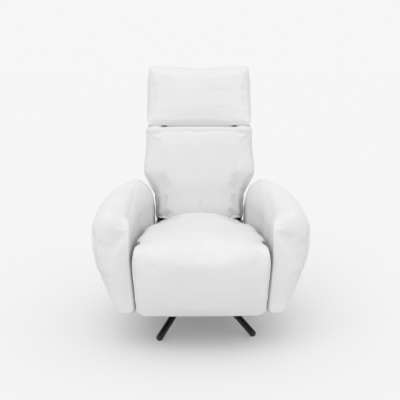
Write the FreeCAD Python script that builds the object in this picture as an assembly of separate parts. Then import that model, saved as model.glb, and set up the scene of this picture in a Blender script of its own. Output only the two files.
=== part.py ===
import FreeCAD, Part
import math
import os

# Star base swivel recliner. Millimetres. +Z is up, the chair faces -Y, and the swivel axis is the Z axis.
# The origin is on the floor. Left is the side of -X.

Vec = FreeCAD.Vector
X_AXIS = Vec(1, 0, 0)
Z_AXIS = Vec(0, 0, 1)

# Star base
leg_count = 5
base_turn = 5.0
leg_reach = 330.0
leg_diameter = 28.0
leg_wall = 2.5
leg_join_height = 163.0
foot_centre_height = 12.4
cap_plug_length = 25.0
hub_diameter = 84.0
hub_wall = 5.0
hub_bottom = 120.0
hub_top = 186.0
hub_lid = 8.0

# Swivel bearing
spindle_diameter = 25.0
spindle_thread_diameter = 20.0
spindle_bottom = 128.0
spindle_collar_diameter = 60.0
spindle_collar_thickness = 6.0
race_diameter = 140.0
race_thickness = 4.0
ball_diameter = 8.0
ball_circle_diameter = 110.0
ball_count = 18
groove_depth = 1.0
groove_slack = 0.1
cage_width = 14.0
cage_thickness = 2.0
cage_slack = 0.15
bush_wall = 3.5
running_slack = 0.05
swivel_plate_side = 210.0
swivel_plate_thickness = 6.0
plate_bolt_spread_x = 85.0
plate_bolt_diameter = 8.0
bolt_hole_slack = 0.25
nut_height = 6.5
head_height = 6.0
washer_thickness = 2.7
washer_lift = 0.3

# Mechanism frame
plate_gap_half = 196.0
mechanism_plate_thickness = 4.0
cross_tube_width = 40.0
cross_tube_height = 25.0
cross_tube_wall = 2.0
cross_tube_spread_y = 80.0
seat_tube_side = 25.0
front_seat_tube_y = -249.5
front_seat_tube_bottom = 285.0
rear_seat_tube_y = 62.5
spring_rail_depth = 30.0
spring_rail_half_length = 165.0
spring_deck_height = 350.0
wire_diameter = 3.6
seat_spring_count = 5
seat_spring_spacing = 70.0
back_spring_count = 4
back_spring_spacing = 78.0
spring_half_width = 20.0
spring_bend_radius = 9.0
sheet_thickness = 1.5
sheet_seam = 0.5
rest_gap = 0.3
wire_gap = 0.1
round_steps = 6
station_pitch = 45.0

# Footrest
knee_radius = 80.0
knee_y = -352.0
knee_height = 377.0
knee_core_radius = 33.0
knee_wrap_angle = 91.0
footrest_travel = 84.0
footrest_bottom = 150.0
footrest_half_width_top = 266.0
footrest_half_width_bottom = 248.0
footrest_corner = 38.0
footrest_corner_depth = 19.0
footrest_crown = 16.0
footrest_recede = 22.0
footrest_hem_round = 34.0
footrest_hem_side = 34.0
footrest_hem_front = 8.0
footrest_hem_crown = 8.0
footrest_hem_corner_depth = 5.0
soft_slack = 1.6
axle_diameter = 20.0
axle_wall = 2.5
axle_overhang = 5.0
eye_radius = 20.0
crank_thickness = 5.0
crank_inner_x = 186.0
crank_radius = 41.6
crank_pin_diameter = 8.0
crank_eye_radius = 16.0
link_eye_radius = 9.0
footrest_board_thickness = 15.0
footrest_board_half_width = 232.0
footrest_board_bottom = 172.0
footrest_board_top = 358.0
crank_flange_width = 30.0
crank_flange_thickness = 4.0
crank_flange_bottom = 205.0
crank_flange_top = 330.0
board_screw_diameter = 6.0

# Seat cushion
seat_top = 464.0
seat_rise = 2.0
seat_rear_top = 446.0
seat_rear_y = 84.0
seat_crown = 18.0
seat_corner = 40.0
seat_corner_depth = 20.0
seat_low_corner = 8.0
seat_rear_round = 26.0
seat_rear_drop = 28.0
seat_rear_pull = 17.0
seat_front_gap = 2.0
seat_half_width_front = 260.0
seat_half_width_mid = 247.0
seat_half_width_rear = 203.0
seat_mid_y = -150.0
crevice = 13.0

# Back
back_pivot_y = 125.0
back_pivot_height = 385.0
back_lean = 15.0
recline_travel = 36.0
back_front = 53.0
back_rear = 80.0
back_height = 450.0
back_bottom = 8.0
back_crown = 10.0
back_corner = 34.0
back_corner_depth = 30.0
back_low_corner = 6.0
back_half_width_low = 203.0
back_half_width_wide = 261.0
back_half_width_top = 243.0
back_waist_height = 112.0
back_shoulder_height = 270.0
lumbar_height = 150.0
lumbar_depth = 5.0
back_top_round = 22.0
back_top_front = 20.0
back_top_side = 14.0
back_bottom_round = 40.0
back_bottom_front = 22.0
back_bottom_side = 14.0
back_shell_thickness = 23.0
back_shell_inset = 1.0
shell_round = 26.0
shell_side = 20.0
shell_rear = 8.0
upright_width = 20.0
upright_depth = 25.0
upright_top = 425.0
back_plate_thickness = 5.0
back_plate_rise = 130.0
back_plate_clear = 41.0
cross_side = 18.0
back_cross_low = 30.0
horn_radius = 90.0
pivot_bolt_diameter = 12.0
pivot_bolt_head = 7.0

# Headrest
headrest_height = 286.0
headrest_lean = 8.5
headrest_half_width = 242.0
headrest_depth_bottom = 134.0
headrest_depth_top = 130.0
headrest_gap = 3.0
headrest_travel = 32.0
headrest_hinge_depth = 15.0
headrest_hinge_rise = 50.0
headrest_ear_rise = 14.0
headrest_crown = 8.5
headrest_side_round = 26.0
headrest_side_pull = 17.0
headrest_low_corner = 10.0
headrest_top_corner = 26.0
headrest_board_thickness = 12.0
headrest_board_setback = 34.0
headrest_board_side = 40.0
headrest_board_top = 45.0
hinge_plate_thickness = 4.0
hinge_eye_radius = 10.0
hinge_pin_diameter = 8.0
hinge_gap = 0.3
hinge_foot_height = 46.0
hinge_tab_width = 14.0
hinge_tab_height = 30.0
hinge_tab_thickness = 3.0
slot_slack = 3.0

# Push rods and gas strut
rod_bar_thickness = 4.0
rod_bar_height = 16.0
rod_bar_x = 178.0
rod_pin_overhang = 3.0
rod_slot_drop = 7.0
rod_slot_slack = 1.2
rod_head_radius = 13.0
fork_radius = 60.0
fork_foot_radius = 9.5
strut_slot_drop = 3.8
strut_slot_slack = 1.5
strut_front_y = -130.0
strut_front_height = 262.0
strut_radius = 11.0
strut_bore_radius = 9.0
strut_neck = 28.0
strut_length = 190.0
strut_end_wall = 6.0
strut_rod_radius = 4.0
strut_rod_inner = 80.0
strut_piston_length = 9.0
strut_eye_radius = 10.0
strut_eye_half_width = 7.0
fork_gap = 2.0
fork_thickness = 4.0

# Arms and rear panel
arm_bottom = 145.0
arm_front_y = -386.0
arm_rear_y = 284.0
arm_outer_front = 419.0
arm_outer_widest = 424.0
arm_outer_rear = 352.0
arm_bottom_outer_front = 333.0
arm_bottom_outer_rear = 310.0
arm_top_front = 578.0
arm_top_peak = 620.0
arm_top_rear = 486.0
arm_peak_y = 70.0
arm_inner_bottom_front = 253.0
arm_corner = 26.0
arm_front_round = 66.0
arm_front_drop = 78.0
arm_front_pull = 62.0
arm_front_tuck = 12.0
arm_front_rise = 22.0
arm_front_low_pull = 10.0
arm_rear_round = 50.0
arm_rear_drop = 48.0
arm_rear_pull = 44.0
arm_rear_tuck = 14.0
arm_rear_rise = 24.0
arm_rear_low_pull = 22.0
arm_board_x = 284.0
arm_board_thickness = 15.0
arm_board_front_y = -290.0
arm_board_rear_y = 250.0
arm_board_bottom = 168.0
arm_board_top = 440.0
arm_bolt_diameter = 10.0
arm_spacer_radius = 12.0
arm_bolt_height = 268.0
rear_board_y = 238.0
rear_board_thickness = 12.0
rear_panel_rear_y = 276.0
rear_panel_bottom = 150.0
rear_panel_top = 366.0
rear_panel_side_gap = 0.8
rear_panel_round = 24.0
rear_panel_side = 6.0
rear_panel_pull = 14.0
rear_board_margin = 14.0

# Heights of the bearing stack, from the hub upwards
race_top = hub_top + race_thickness
ball_height = race_top - groove_depth + ball_diameter / 2
upper_race_bottom = ball_height + ball_diameter / 2 - groove_depth
upper_race_top = upper_race_bottom + race_thickness
plate_top = upper_race_top + swivel_plate_thickness
cross_tube_top = plate_top + cross_tube_height
spring_height = spring_deck_height + wire_gap + wire_diameter / 2
seat_underside = spring_height + wire_diameter / 2 + rest_gap

# Places of the hinge lines
knee = Vec(0, knee_y, knee_height)
pivot = Vec(0, back_pivot_y, back_pivot_height)
crank_half_swing = footrest_travel / 2
horn_half_swing = recline_travel / 2
crank_pin = knee + Vec(
    0,
    crank_radius * math.sin(math.radians(crank_half_swing)),
    -crank_radius * math.cos(math.radians(crank_half_swing)),
)
horn_pin = pivot + Vec(
    0,
    horn_radius * math.sin(math.radians(horn_half_swing)),
    -horn_radius * math.cos(math.radians(horn_half_swing)),
)
fork_pin = pivot + (horn_pin - pivot) * (fork_radius / horn_radius)
strut_front = Vec(0, strut_front_y, strut_front_height)
strut_line = (fork_pin - strut_front).normalize()
strut_span = (fork_pin - strut_front).Length
headrest_bottom = back_height + headrest_gap
headrest_slope = math.tan(math.radians(headrest_lean))
headrest_hinge = Vec(
    0,
    headrest_hinge_depth - back_front + headrest_slope * (headrest_gap + headrest_hinge_rise),
    headrest_bottom + headrest_hinge_rise,
)
headrest_board_front = headrest_hinge.y + headrest_board_setback
headrest_board_low = headrest_hinge.z + 4.0


# Small tools

def place_back(shape):
    """Carries a shape from the upright frame of the back, whose origin is the back pivot, to the chair."""
    leaned = shape.copy()
    leaned.rotate(Vec(0, 0, 0), X_AXIS, -back_lean)
    leaned.translate(pivot)
    return leaned


def mirrored(shape):
    return shape.mirror(Vec(0, 0, 0), X_AXIS)


def box(x0, x1, y0, y1, z0, z1):
    return Part.makeBox(x1 - x0, y1 - y0, z1 - z0, Vec(x0, y0, z0))


def rod(radius, start, end):
    line = end - start
    return Part.makeCylinder(radius, line.Length, start, line)


def ring(outer, inner, start, end):
    return rod(outer, start, end).cut(rod(inner, start, end))


def along_x(x, place):
    return Vec(x, place.y, place.z)


def disc(radius, x0, x1, place):
    return rod(radius, along_x(x0, place), along_x(x1, place))


def bar_between(x0, x1, first, first_radius, second, second_radius):
    """A flat bar in the YZ plane with a round end at each place."""
    line = (second - first).normalize()
    side = Vec(0, -line.z, line.y)
    corners = [
        first + side * first_radius,
        second + side * second_radius,
        second - side * second_radius,
        first - side * first_radius,
    ]
    flat = [along_x(x0, c) for c in corners]
    face = Part.Face(Part.makePolygon(flat + flat[:1]))
    bar = face.extrude(Vec(x1 - x0, 0, 0))
    ends = [disc(first_radius, x0, x1, first), disc(second_radius, x0, x1, second)]
    return bar.multiFuse(ends).removeSplitter()


def plate_from(x0, x1, outline):
    """A plate between x0 and x1 from an outline of (y, z) points."""
    points = [Vec(x0, y, z) for y, z in outline]
    return Part.Face(Part.makePolygon(points + points[:1])).extrude(Vec(x1 - x0, 0, 0))


def square_tube(x_half, y0, y1, z0, z1, wall):
    outer = box(-x_half, x_half, y0, y1, z0, z1)
    inner = box(-x_half, x_half, y0 + wall, y1 - wall, z0 + wall, z1 - wall)
    return outer.cut(inner)


def hexagon(across, place, height):
    corner = across / math.sqrt(3)
    points = [
        place + Vec(corner * math.cos(math.radians(60 * k)), corner * math.sin(math.radians(60 * k)), 0)
        for k in range(7)
    ]
    return Part.Face(Part.makePolygon(points)).extrude(Vec(0, 0, height))


def arc(start, middle, end):
    return Part.Arc(start, middle, end).toShape()


def blend_value(stations, place):
    """A value read off a smooth curve through (place, value) stations."""
    for (p0, v0), (p1, v1) in zip(stations, stations[1:]):
        if place <= p1 or (p1, v1) == stations[-1]:
            share = min(1.0, max(0.0, (place - p0) / (p1 - p0)))
            eased = share * share * (3 - 2 * share)
            return v0 + (v1 - v0) * eased
    return stations[-1][1]


def soft_outline(origin, across, outward, half_width, low, high, crown, corner_across, corner_deep, low_corner):
    """A closed cushion section: a flat back, round low corners, straight sides, wide top corners and a crowned face."""

    def at(a, b):
        return origin + across * a + outward * b

    shoulder = high - crown
    side_top = shoulder - corner_deep
    inner = half_width - corner_across
    diagonal = math.sqrt(0.5)
    bend_a = half_width - corner_across * (1 - diagonal)
    bend_b = side_top + corner_deep * diagonal
    low_bend = low_corner * (1 - diagonal)
    edges = [
        Part.makeLine(at(-half_width + low_corner, low), at(half_width - low_corner, low)),
        arc(at(half_width - low_corner, low), at(half_width - low_bend, low + low_bend), at(half_width, low + low_corner)),
        Part.makeLine(at(half_width, low + low_corner), at(half_width, side_top)),
        arc(at(half_width, side_top), at(bend_a, bend_b), at(inner, shoulder)),
        arc(at(inner, shoulder), at(0, high), at(-inner, shoulder)),
        arc(at(-inner, shoulder), at(-bend_a, bend_b), at(-half_width, side_top)),
        Part.makeLine(at(-half_width, side_top), at(-half_width, low + low_corner)),
        arc(at(-half_width, low + low_corner), at(-half_width + low_bend, low + low_bend), at(-half_width + low_corner, low)),
    ]
    return Part.Wire(edges)


def loft(wires):
    solid = Part.makeLoft(wires, True, True)
    if solid.Volume < 0:
        solid.reverse()
    return solid


def end_round(radius):
    """Distances from an end, and the share of the pull at each, along a quarter of an ellipse."""
    if radius == 0:
        return [(0.0, 0.0)]
    turns = [math.radians(90.0 * k / round_steps) for k in range(round_steps + 1)]
    return [(radius * (1 - math.cos(t)), 1 - math.sin(t)) for t in turns]


def stations_between(start, end, start_round, end_round_radius):
    """Places from start to end, each with the share of the pull of the start and of the end."""
    sign = 1 if end > start else -1
    first = [(start + sign * d, share, 0.0) for d, share in end_round(start_round)]
    last = [(end - sign * d, 0.0, share) for d, share in reversed(end_round(end_round_radius))]
    run = last[0][0] - first[-1][0]
    count = max(1, round(abs(run) / station_pitch))
    middle = [(first[-1][0] + run * k / count, 0.0, 0.0) for k in range(1, count)]
    return first + middle + last


def slotted(shape, x0, x1, top, drop, radius):
    """Cuts a slot that starts at top and runs down by drop."""
    bottom = top - Z_AXIS * drop
    return shape.cut(bar_between(x0, x1, top, radius, bottom, radius))


# Star base

def leg_direction(number):
    """Plan direction of a leg. The first and the last point forward, one each side of the front."""
    turn = math.radians(360.0 / leg_count * (number + 0.5) - 90 + base_turn)
    return Vec(math.cos(turn), math.sin(turn), 0)


def leg_ends(number):
    out = leg_direction(number)
    return out * (hub_diameter / 2) + Z_AXIS * leg_join_height, out * leg_reach + Z_AXIS * foot_centre_height


def make_leg(number):
    root, foot = leg_ends(number)
    line = (foot - root).normalize()
    start = root - line * leg_diameter
    outer = rod(leg_diameter / 2, start, foot)
    bore = rod(leg_diameter / 2 - leg_wall, start, foot)
    hub_space = Part.makeCylinder(hub_diameter / 2, 2 * hub_top, Vec(0, 0, 0))
    return outer.cut(bore).cut(hub_space)


def make_leg_cap(number):
    root, foot = leg_ends(number)
    line = (foot - root).normalize()
    dome = Part.makeSphere(leg_diameter / 2, foot)
    behind = rod(leg_diameter, foot - line * leg_diameter, foot)
    floor = box(-2 * leg_reach, 2 * leg_reach, -2 * leg_reach, 2 * leg_reach, -leg_diameter, 0)
    plug = rod(leg_diameter / 2 - leg_wall, foot - line * cap_plug_length, foot)
    return dome.cut(behind).cut(floor).fuse(plug).removeSplitter()


def make_hub():
    shell = ring(hub_diameter / 2, hub_diameter / 2 - hub_wall, Z_AXIS * hub_bottom, Z_AXIS * hub_top)
    lid = ring(hub_diameter / 2, spindle_diameter / 2, Z_AXIS * (hub_top - hub_lid), Z_AXIS * hub_top)
    return shell.fuse(lid).removeSplitter()


def make_spindle():
    shaft = rod(spindle_diameter / 2, Z_AXIS * spindle_bottom, Z_AXIS * plate_top)
    collar_top = hub_top - hub_lid
    collar = rod(spindle_collar_diameter / 2, Z_AXIS * (collar_top - spindle_collar_thickness), Z_AXIS * collar_top)
    thread_top = plate_top + washer_lift + washer_thickness + 2 * nut_height
    thread = rod(spindle_thread_diameter / 2, Z_AXIS * plate_top, Z_AXIS * thread_top)
    return shaft.multiFuse([collar, thread]).removeSplitter()


def make_spindle_fasteners():
    bore = spindle_thread_diameter / 2
    low = plate_top + washer_lift
    middle = low + washer_thickness
    high = middle + nut_height * 1.6
    washer = ring(spindle_diameter * 0.9, bore, Z_AXIS * low, Z_AXIS * middle)
    nut = hexagon(spindle_thread_diameter * 1.5, Z_AXIS * middle, high - middle)
    return Part.makeCompound([washer, nut.cut(rod(bore, Z_AXIS * middle, Z_AXIS * high))])


def groove():
    return Part.makeTorus(ball_circle_diameter / 2, ball_diameter / 2 + groove_slack, Z_AXIS * ball_height)


def make_lower_race():
    return ring(race_diameter / 2, spindle_diameter / 2, Z_AXIS * hub_top, Z_AXIS * race_top).cut(groove())


def make_upper_race():
    bush_outer = spindle_diameter / 2 + running_slack + bush_wall
    return ring(race_diameter / 2, bush_outer, Z_AXIS * upper_race_bottom, Z_AXIS * upper_race_top).cut(groove())


def ball_centres():
    return [
        Vec(
            ball_circle_diameter / 2 * math.cos(2 * math.pi * k / ball_count),
            ball_circle_diameter / 2 * math.sin(2 * math.pi * k / ball_count),
            ball_height,
        )
        for k in range(ball_count)
    ]


def make_balls():
    return Part.makeCompound([Part.makeSphere(ball_diameter / 2, c) for c in ball_centres()])


def make_cage():
    middle = ball_circle_diameter / 2
    low = Z_AXIS * (ball_height - cage_thickness / 2)
    high = Z_AXIS * (ball_height + cage_thickness / 2)
    cage = ring(middle + cage_width / 2, middle - cage_width / 2, low, high)
    pockets = [Part.makeSphere(ball_diameter / 2 + cage_slack, c) for c in ball_centres()]
    return cage.cut(Part.makeCompound(pockets))


# Frame of the body

def plate_bolt_places():
    return [Vec(sx * plate_bolt_spread_x, sy * cross_tube_spread_y, 0) for sx in (-1, 1) for sy in (-1, 1)]


def plate_bolt_holes():
    radius = plate_bolt_diameter / 2 + bolt_hole_slack
    return Part.makeCompound([rod(radius, p, p + Z_AXIS * 2 * cross_tube_top) for p in plate_bolt_places()])


def make_swivel_plate():
    half = swivel_plate_side / 2
    plate = box(-half, half, -half, half, upper_race_top, plate_top)
    centre = rod(spindle_diameter / 2 + running_slack + bush_wall, Z_AXIS * upper_race_top, Z_AXIS * plate_top)
    return plate.cut(centre).cut(plate_bolt_holes())


def make_bush():
    inner = spindle_diameter / 2 + running_slack
    return ring(inner + bush_wall, inner, Z_AXIS * upper_race_bottom, Z_AXIS * plate_top)


def make_plate_bolts():
    bolts = []
    for place in plate_bolt_places():
        head = hexagon(plate_bolt_diameter * 1.6, place + Z_AXIS * (upper_race_top - head_height), head_height)
        shank = rod(
            plate_bolt_diameter / 2, place + Z_AXIS * upper_race_top, place + Z_AXIS * (cross_tube_top + nut_height)
        )
        nut = hexagon(plate_bolt_diameter * 1.6, place + Z_AXIS * cross_tube_top, nut_height)
        bolts.append(head.multiFuse([shank, nut]).removeSplitter())
    return Part.makeCompound(bolts)


def make_cross_tube(side):
    centre = side * cross_tube_spread_y
    tube = square_tube(
        plate_gap_half,
        centre - cross_tube_width / 2,
        centre + cross_tube_width / 2,
        plate_top,
        cross_tube_top,
        cross_tube_wall,
    )
    return tube.cut(plate_bolt_holes())


def arm_bolt_places():
    return [Vec(0, y, arm_bolt_height) for y in (-200.0, -60.0, 120.0)]


def plate_outline():
    low = plate_top
    deck = spring_deck_height
    return [
        (-225.0, low),
        (-305.0, front_seat_tube_bottom),
        (knee_y - 2.0, knee_height - eye_radius * 0.8),
        (knee_y + eye_radius + 4.0, knee_height - 5.0),
        (knee_y + knee_radius - 14.0, deck),
        (back_pivot_y - 40.0, deck),
        (back_pivot_y - 14.0, back_pivot_height + 8.0),
        (back_pivot_y + 16.0, back_pivot_height + 4.0),
        (back_pivot_y + 50.0, deck - 20.0),
        (back_pivot_y + 45.0, low),
    ]


def make_mechanism_plate():
    x0, x1 = plate_gap_half, plate_gap_half + mechanism_plate_thickness
    plate = plate_from(x0, x1, plate_outline())
    plate = plate.multiFuse([disc(eye_radius, x0, x1, knee), disc(eye_radius, x0, x1, pivot)]).removeSplitter()
    holes = [
        disc(axle_diameter / 2 + running_slack, x0, x1, knee),
        disc(pivot_bolt_diameter / 2 + running_slack, x0, x1, pivot),
    ]
    holes += [disc(arm_bolt_diameter / 2 + bolt_hole_slack, x0, x1, p) for p in arm_bolt_places()]
    return plate.cut(Part.makeCompound(holes))


def make_seat_tube_front():
    half = seat_tube_side / 2
    return square_tube(
        plate_gap_half,
        front_seat_tube_y - half,
        front_seat_tube_y + half,
        front_seat_tube_bottom,
        front_seat_tube_bottom + seat_tube_side,
        cross_tube_wall,
    )


def make_seat_tube_rear():
    half = seat_tube_side / 2
    return square_tube(
        plate_gap_half,
        rear_seat_tube_y - half,
        rear_seat_tube_y + half,
        spring_deck_height - seat_tube_side,
        spring_deck_height,
        cross_tube_wall,
    )


def make_spring_rail():
    half = spring_rail_depth / 2
    return box(
        -spring_rail_half_length,
        spring_rail_half_length,
        front_seat_tube_y - half,
        front_seat_tube_y + half,
        front_seat_tube_bottom + seat_tube_side,
        spring_deck_height,
    )


def zigzag_spring(start, run, side, length):
    """A flat wave spring: straight rungs along side, joined by half turns, from start over length along run."""
    step = 2 * spring_bend_radius
    rungs = int(length // step)
    lead = (length - rungs * step) / 2
    reach = spring_half_width - spring_bend_radius
    edges = []
    here = start
    there = start + run * lead
    edges.append(Part.makeLine(here, there))
    first_corner = there + side * reach
    edges.append(Part.makeLine(there, first_corner))
    here = first_corner
    sign = 1
    for k in range(rungs):
        middle = here + run * spring_bend_radius + side * (sign * spring_bend_radius)
        end = here + run * step
        edges.append(arc(here, middle, end))
        sign = -sign
        here = end
        goal = end + side * (sign * (reach if k == rungs - 1 else 2 * reach))
        edges.append(Part.makeLine(here, goal))
        here = goal
    edges.append(Part.makeLine(here, here + run * lead))
    path = Part.Wire(edges)
    section = Part.Wire(Part.Circle(start, run, wire_diameter / 2).toShape())
    return path.makePipeShell([section], True, False, 2)


def seat_spring_starts():
    middle = (seat_spring_count - 1) / 2
    return [Vec((k - middle) * seat_spring_spacing, front_seat_tube_y, spring_height) for k in range(seat_spring_count)]


def make_seat_springs():
    length = rear_seat_tube_y - front_seat_tube_y
    return Part.makeCompound(
        [zigzag_spring(p, Vec(0, 1, 0), Vec(1, 0, 0), length) for p in seat_spring_starts()]
    )


def make_axle():
    half = plate_gap_half + mechanism_plate_thickness + axle_overhang
    return ring(axle_diameter / 2, axle_diameter / 2 - axle_wall, along_x(-half, knee), along_x(half, knee))


def frame_washer(place, bore, outer):
    gap = 0.2
    x0 = crank_inner_x + crank_thickness + gap
    x1 = plate_gap_half - gap
    return disc(outer, x0, x1, place).cut(disc(bore, x0, x1, place))


def make_mechanism_washers():
    right = [
        frame_washer(knee, axle_diameter / 2 + running_slack, axle_diameter / 2 + 5.0),
        frame_washer(pivot, pivot_bolt_diameter / 2 + running_slack, pivot_bolt_diameter),
    ]
    return Part.makeCompound(right + [mirrored(w) for w in right])


def pivot_bolt():
    outer = plate_gap_half + mechanism_plate_thickness
    inner = crank_inner_x - 0.3
    shank = disc(pivot_bolt_diameter / 2, inner - pivot_bolt_head, outer, pivot)
    head = disc(pivot_bolt_diameter * 0.8, outer, outer + pivot_bolt_head, pivot)
    nut = disc(pivot_bolt_diameter * 0.8, inner - pivot_bolt_head, inner, pivot)
    return shank.multiFuse([head, nut]).removeSplitter()


def arm_bolt(place):
    x0 = plate_gap_half - nut_height
    x1 = arm_board_x + arm_board_thickness + head_height
    shank = disc(arm_bolt_diameter / 2, x0, x1, place)
    nut = disc(arm_bolt_diameter * 0.85, x0, plate_gap_half, place)
    head = disc(arm_bolt_diameter * 0.85, x1 - head_height, x1, place)
    return shank.multiFuse([nut, head]).removeSplitter()


def make_frame_bolts():
    right = [pivot_bolt()] + [arm_bolt(place) for place in arm_bolt_places()]
    return Part.makeCompound(right + [mirrored(bolt) for bolt in right])


def make_arm_spacers():
    x0 = plate_gap_half + mechanism_plate_thickness
    radius = arm_bolt_diameter / 2 + bolt_hole_slack
    spacers = [
        disc(arm_spacer_radius, x0, arm_board_x, p).cut(disc(radius, x0, arm_board_x, p)) for p in arm_bolt_places()
    ]
    return Part.makeCompound(spacers + [mirrored(s) for s in spacers])


def make_dust_cover():
    """Four plain panels under the frame, round the swivel plate."""
    inner = swivel_plate_side / 2 + sheet_seam
    front = -222.0
    rear = back_pivot_y + 40.0
    side = plate_gap_half - sheet_seam
    low = plate_top - sheet_thickness
    panels = [
        box(-side, side, front, -inner - sheet_seam, low, plate_top),
        box(-side, side, inner + sheet_seam, rear, low, plate_top),
        box(inner, side, -inner, inner, low, plate_top),
        box(-side, -inner, -inner, inner, low, plate_top),
    ]
    return Part.makeCompound(panels)


# Seat cushion and footrest

def seat_half_width(y):
    return blend_value(
        [
            (knee_y + knee_radius, seat_half_width_front),
            (seat_mid_y, seat_half_width_mid),
            (seat_rear_y, seat_half_width_rear),
        ],
        y,
    )


def knee_section(extra, low):
    """Section of the knee roll in the plane z = knee height: across is X and outward is forward."""
    return soft_outline(
        knee,
        X_AXIS,
        Vec(0, -1, 0),
        footrest_half_width_top + extra,
        low,
        knee_radius + extra,
        footrest_crown,
        footrest_corner,
        footrest_corner_depth,
        2.0,
    )


def make_footrest_pad():
    roll = Part.Face(knee_section(0, knee_core_radius)).revolve(knee, X_AXIS, -knee_wrap_angle)
    height = knee_height - footrest_bottom
    wires = []
    for z, start, hem in stations_between(knee_height, footrest_bottom, 0, footrest_hem_round):
        share = (knee_height - z) / height
        half = footrest_half_width_top + (footrest_half_width_bottom - footrest_half_width_top) * share
        wires.append(
            soft_outline(
                Vec(0, knee_y, z),
                X_AXIS,
                Vec(0, -1, 0),
                half - footrest_hem_side * hem,
                knee_core_radius,
                knee_radius - footrest_recede * share * share - footrest_hem_front * hem,
                footrest_crown + (footrest_hem_crown - footrest_crown) * share,
                footrest_corner,
                footrest_corner_depth + (footrest_hem_corner_depth - footrest_corner_depth) * share,
                2.0,
            )
        )
    return roll.fuse(loft(wires)).removeSplitter()


def make_seat_cushion():
    front_y = knee_y + seat_front_gap
    wires = []
    for y, start, rear in stations_between(front_y, seat_rear_y, 0, seat_rear_round):
        top = blend_value(
            [(front_y, seat_top), (seat_mid_y, seat_top + seat_rise), (seat_rear_y, seat_rear_top)], y
        )
        wires.append(
            soft_outline(
                Vec(0, y, 0),
                X_AXIS,
                Z_AXIS,
                seat_half_width(y) - seat_rear_pull * rear,
                seat_underside,
                top - seat_rear_drop * rear,
                seat_crown,
                seat_corner,
                seat_corner_depth,
                seat_low_corner,
            )
        )
    hollow = Part.Face(knee_section(soft_slack, 0.0)).revolve(knee, X_AXIS, 360)
    return loft(wires).cut(hollow)


def make_footrest_board():
    y1 = knee_y - knee_core_radius
    y0 = y1 + footrest_board_thickness
    board = box(
        -footrest_board_half_width,
        footrest_board_half_width,
        y1,
        y0,
        footrest_board_bottom,
        footrest_board_top,
    )
    return board.cut(Part.makeCompound([rod(board_screw_diameter / 2, a, b) for a, b in board_screw_lines()]))


def board_screw_lines():
    x = crank_inner_x + crank_thickness - crank_flange_width * 0.6
    front = knee_y - knee_core_radius + 3.0
    rear = front - 3.0 + footrest_board_thickness + crank_flange_thickness
    places = [(s * x, z) for s in (-1, 1) for z in (crank_flange_bottom + 20, crank_flange_top - 20)]
    return [(Vec(px, front, pz), Vec(px, rear, pz)) for px, pz in places]


def make_board_screws():
    screws = []
    for front, rear in board_screw_lines():
        head = rod(board_screw_diameter * 0.9, rear, rear + Vec(0, 3.0, 0))
        screws.append(rod(board_screw_diameter / 2, front, rear).fuse(head).removeSplitter())
    return Part.makeCompound(screws)


def make_crank():
    x0, x1 = crank_inner_x, crank_inner_x + crank_thickness
    flange_front = knee_y - knee_core_radius + footrest_board_thickness
    arm_end = Vec(0, flange_front + 9.0, crank_flange_bottom + 15.0)
    lever = bar_between(x0, x1, knee, crank_eye_radius, crank_pin, link_eye_radius)
    arm = bar_between(x0, x1, knee, crank_eye_radius, arm_end, 9.0)
    flange = box(
        x1 - crank_flange_width,
        x1,
        flange_front,
        flange_front + crank_flange_thickness,
        crank_flange_bottom,
        crank_flange_top,
    )
    stub = disc(crank_pin_diameter / 2, rod_bar_x - rod_pin_overhang, x0, crank_pin)
    crank = lever.multiFuse([arm, flange, stub]).removeSplitter()
    behind_board = box(x0 - 1, x1 + 1, flange_front - 40, flange_front, 0, knee_height - eye_radius)
    crank = crank.cut(behind_board)
    holes = [rod(board_screw_diameter / 2, a, b) for a, b in board_screw_lines()]
    holes.append(disc(axle_diameter / 2 + running_slack, x0, x1, knee))
    return crank.cut(Part.makeCompound(holes))


# Back

def back_wide(s):
    """Half width of the back at height s above its pivot: narrow between the arms, wide above them."""
    return blend_value(
        [
            (back_waist_height, back_half_width_low),
            (back_shoulder_height, back_half_width_wide),
            (back_height, back_half_width_top),
        ],
        s,
    )


def back_pocket():
    """Room for the steel frame of the back, open at the rear and at the bottom."""
    half = crank_inner_x + back_plate_thickness + rest_gap
    front = frame_front() - rest_gap
    rooms = [
        box(-half, half, front, back_rear, -40.0, upright_top + rest_gap),
        box(-half, half, -eye_radius - slot_slack, back_rear, -40.0, back_plate_clear),
    ]
    for side in (-1, 1):
        x0, x1 = sorted((side * (crank_inner_x - 12.0), side * (back_half_width_wide + 1.0)))
        rooms.append(disc(eye_radius + slot_slack, x0, x1, Vec(0, 0, 0)))
        x0, x1 = sorted((side * (hinge_base_x() - rest_gap), side * (crank_inner_x + rest_gap)))
        slot = plate_from(x0, x1, hinge_base_outline(rest_gap))
        rooms.append(slot)
    return Part.makeCompound(rooms)


def make_back_cushion():
    depth = back_rear - back_shell_thickness
    wires = []
    for s, low, top in stations_between(back_bottom, back_height, back_bottom_round, back_top_round):
        lumbar = blend_value([(back_bottom, 0.0), (lumbar_height, lumbar_depth), (back_height, 0.0)], s)
        wires.append(
            soft_outline(
                Vec(0, 0, s),
                X_AXIS,
                Vec(0, -1, 0),
                back_wide(s) - back_bottom_side * low - back_top_side * top,
                -depth,
                back_front + lumbar - back_bottom_front * low - back_top_front * top,
                back_crown,
                back_corner,
                back_corner_depth,
                back_low_corner,
            )
        )
    return place_back(loft(wires).cut(back_pocket()))


def make_back_shell():
    front = back_rear - back_shell_thickness + rest_gap
    wires = []
    for s, low, top in stations_between(back_bottom, back_height, shell_round, shell_round):
        wires.append(
            soft_outline(
                Vec(0, 0, s),
                X_AXIS,
                Vec(0, 1, 0),
                back_wide(s) - back_shell_inset - shell_side * (low + top),
                front,
                back_rear - shell_rear * (low + top),
                3.0,
                12.0,
                7.0,
                1.0,
            )
        )
    return place_back(loft(wires))


def frame_front():
    return back_rear - back_shell_thickness - upright_depth


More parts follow.
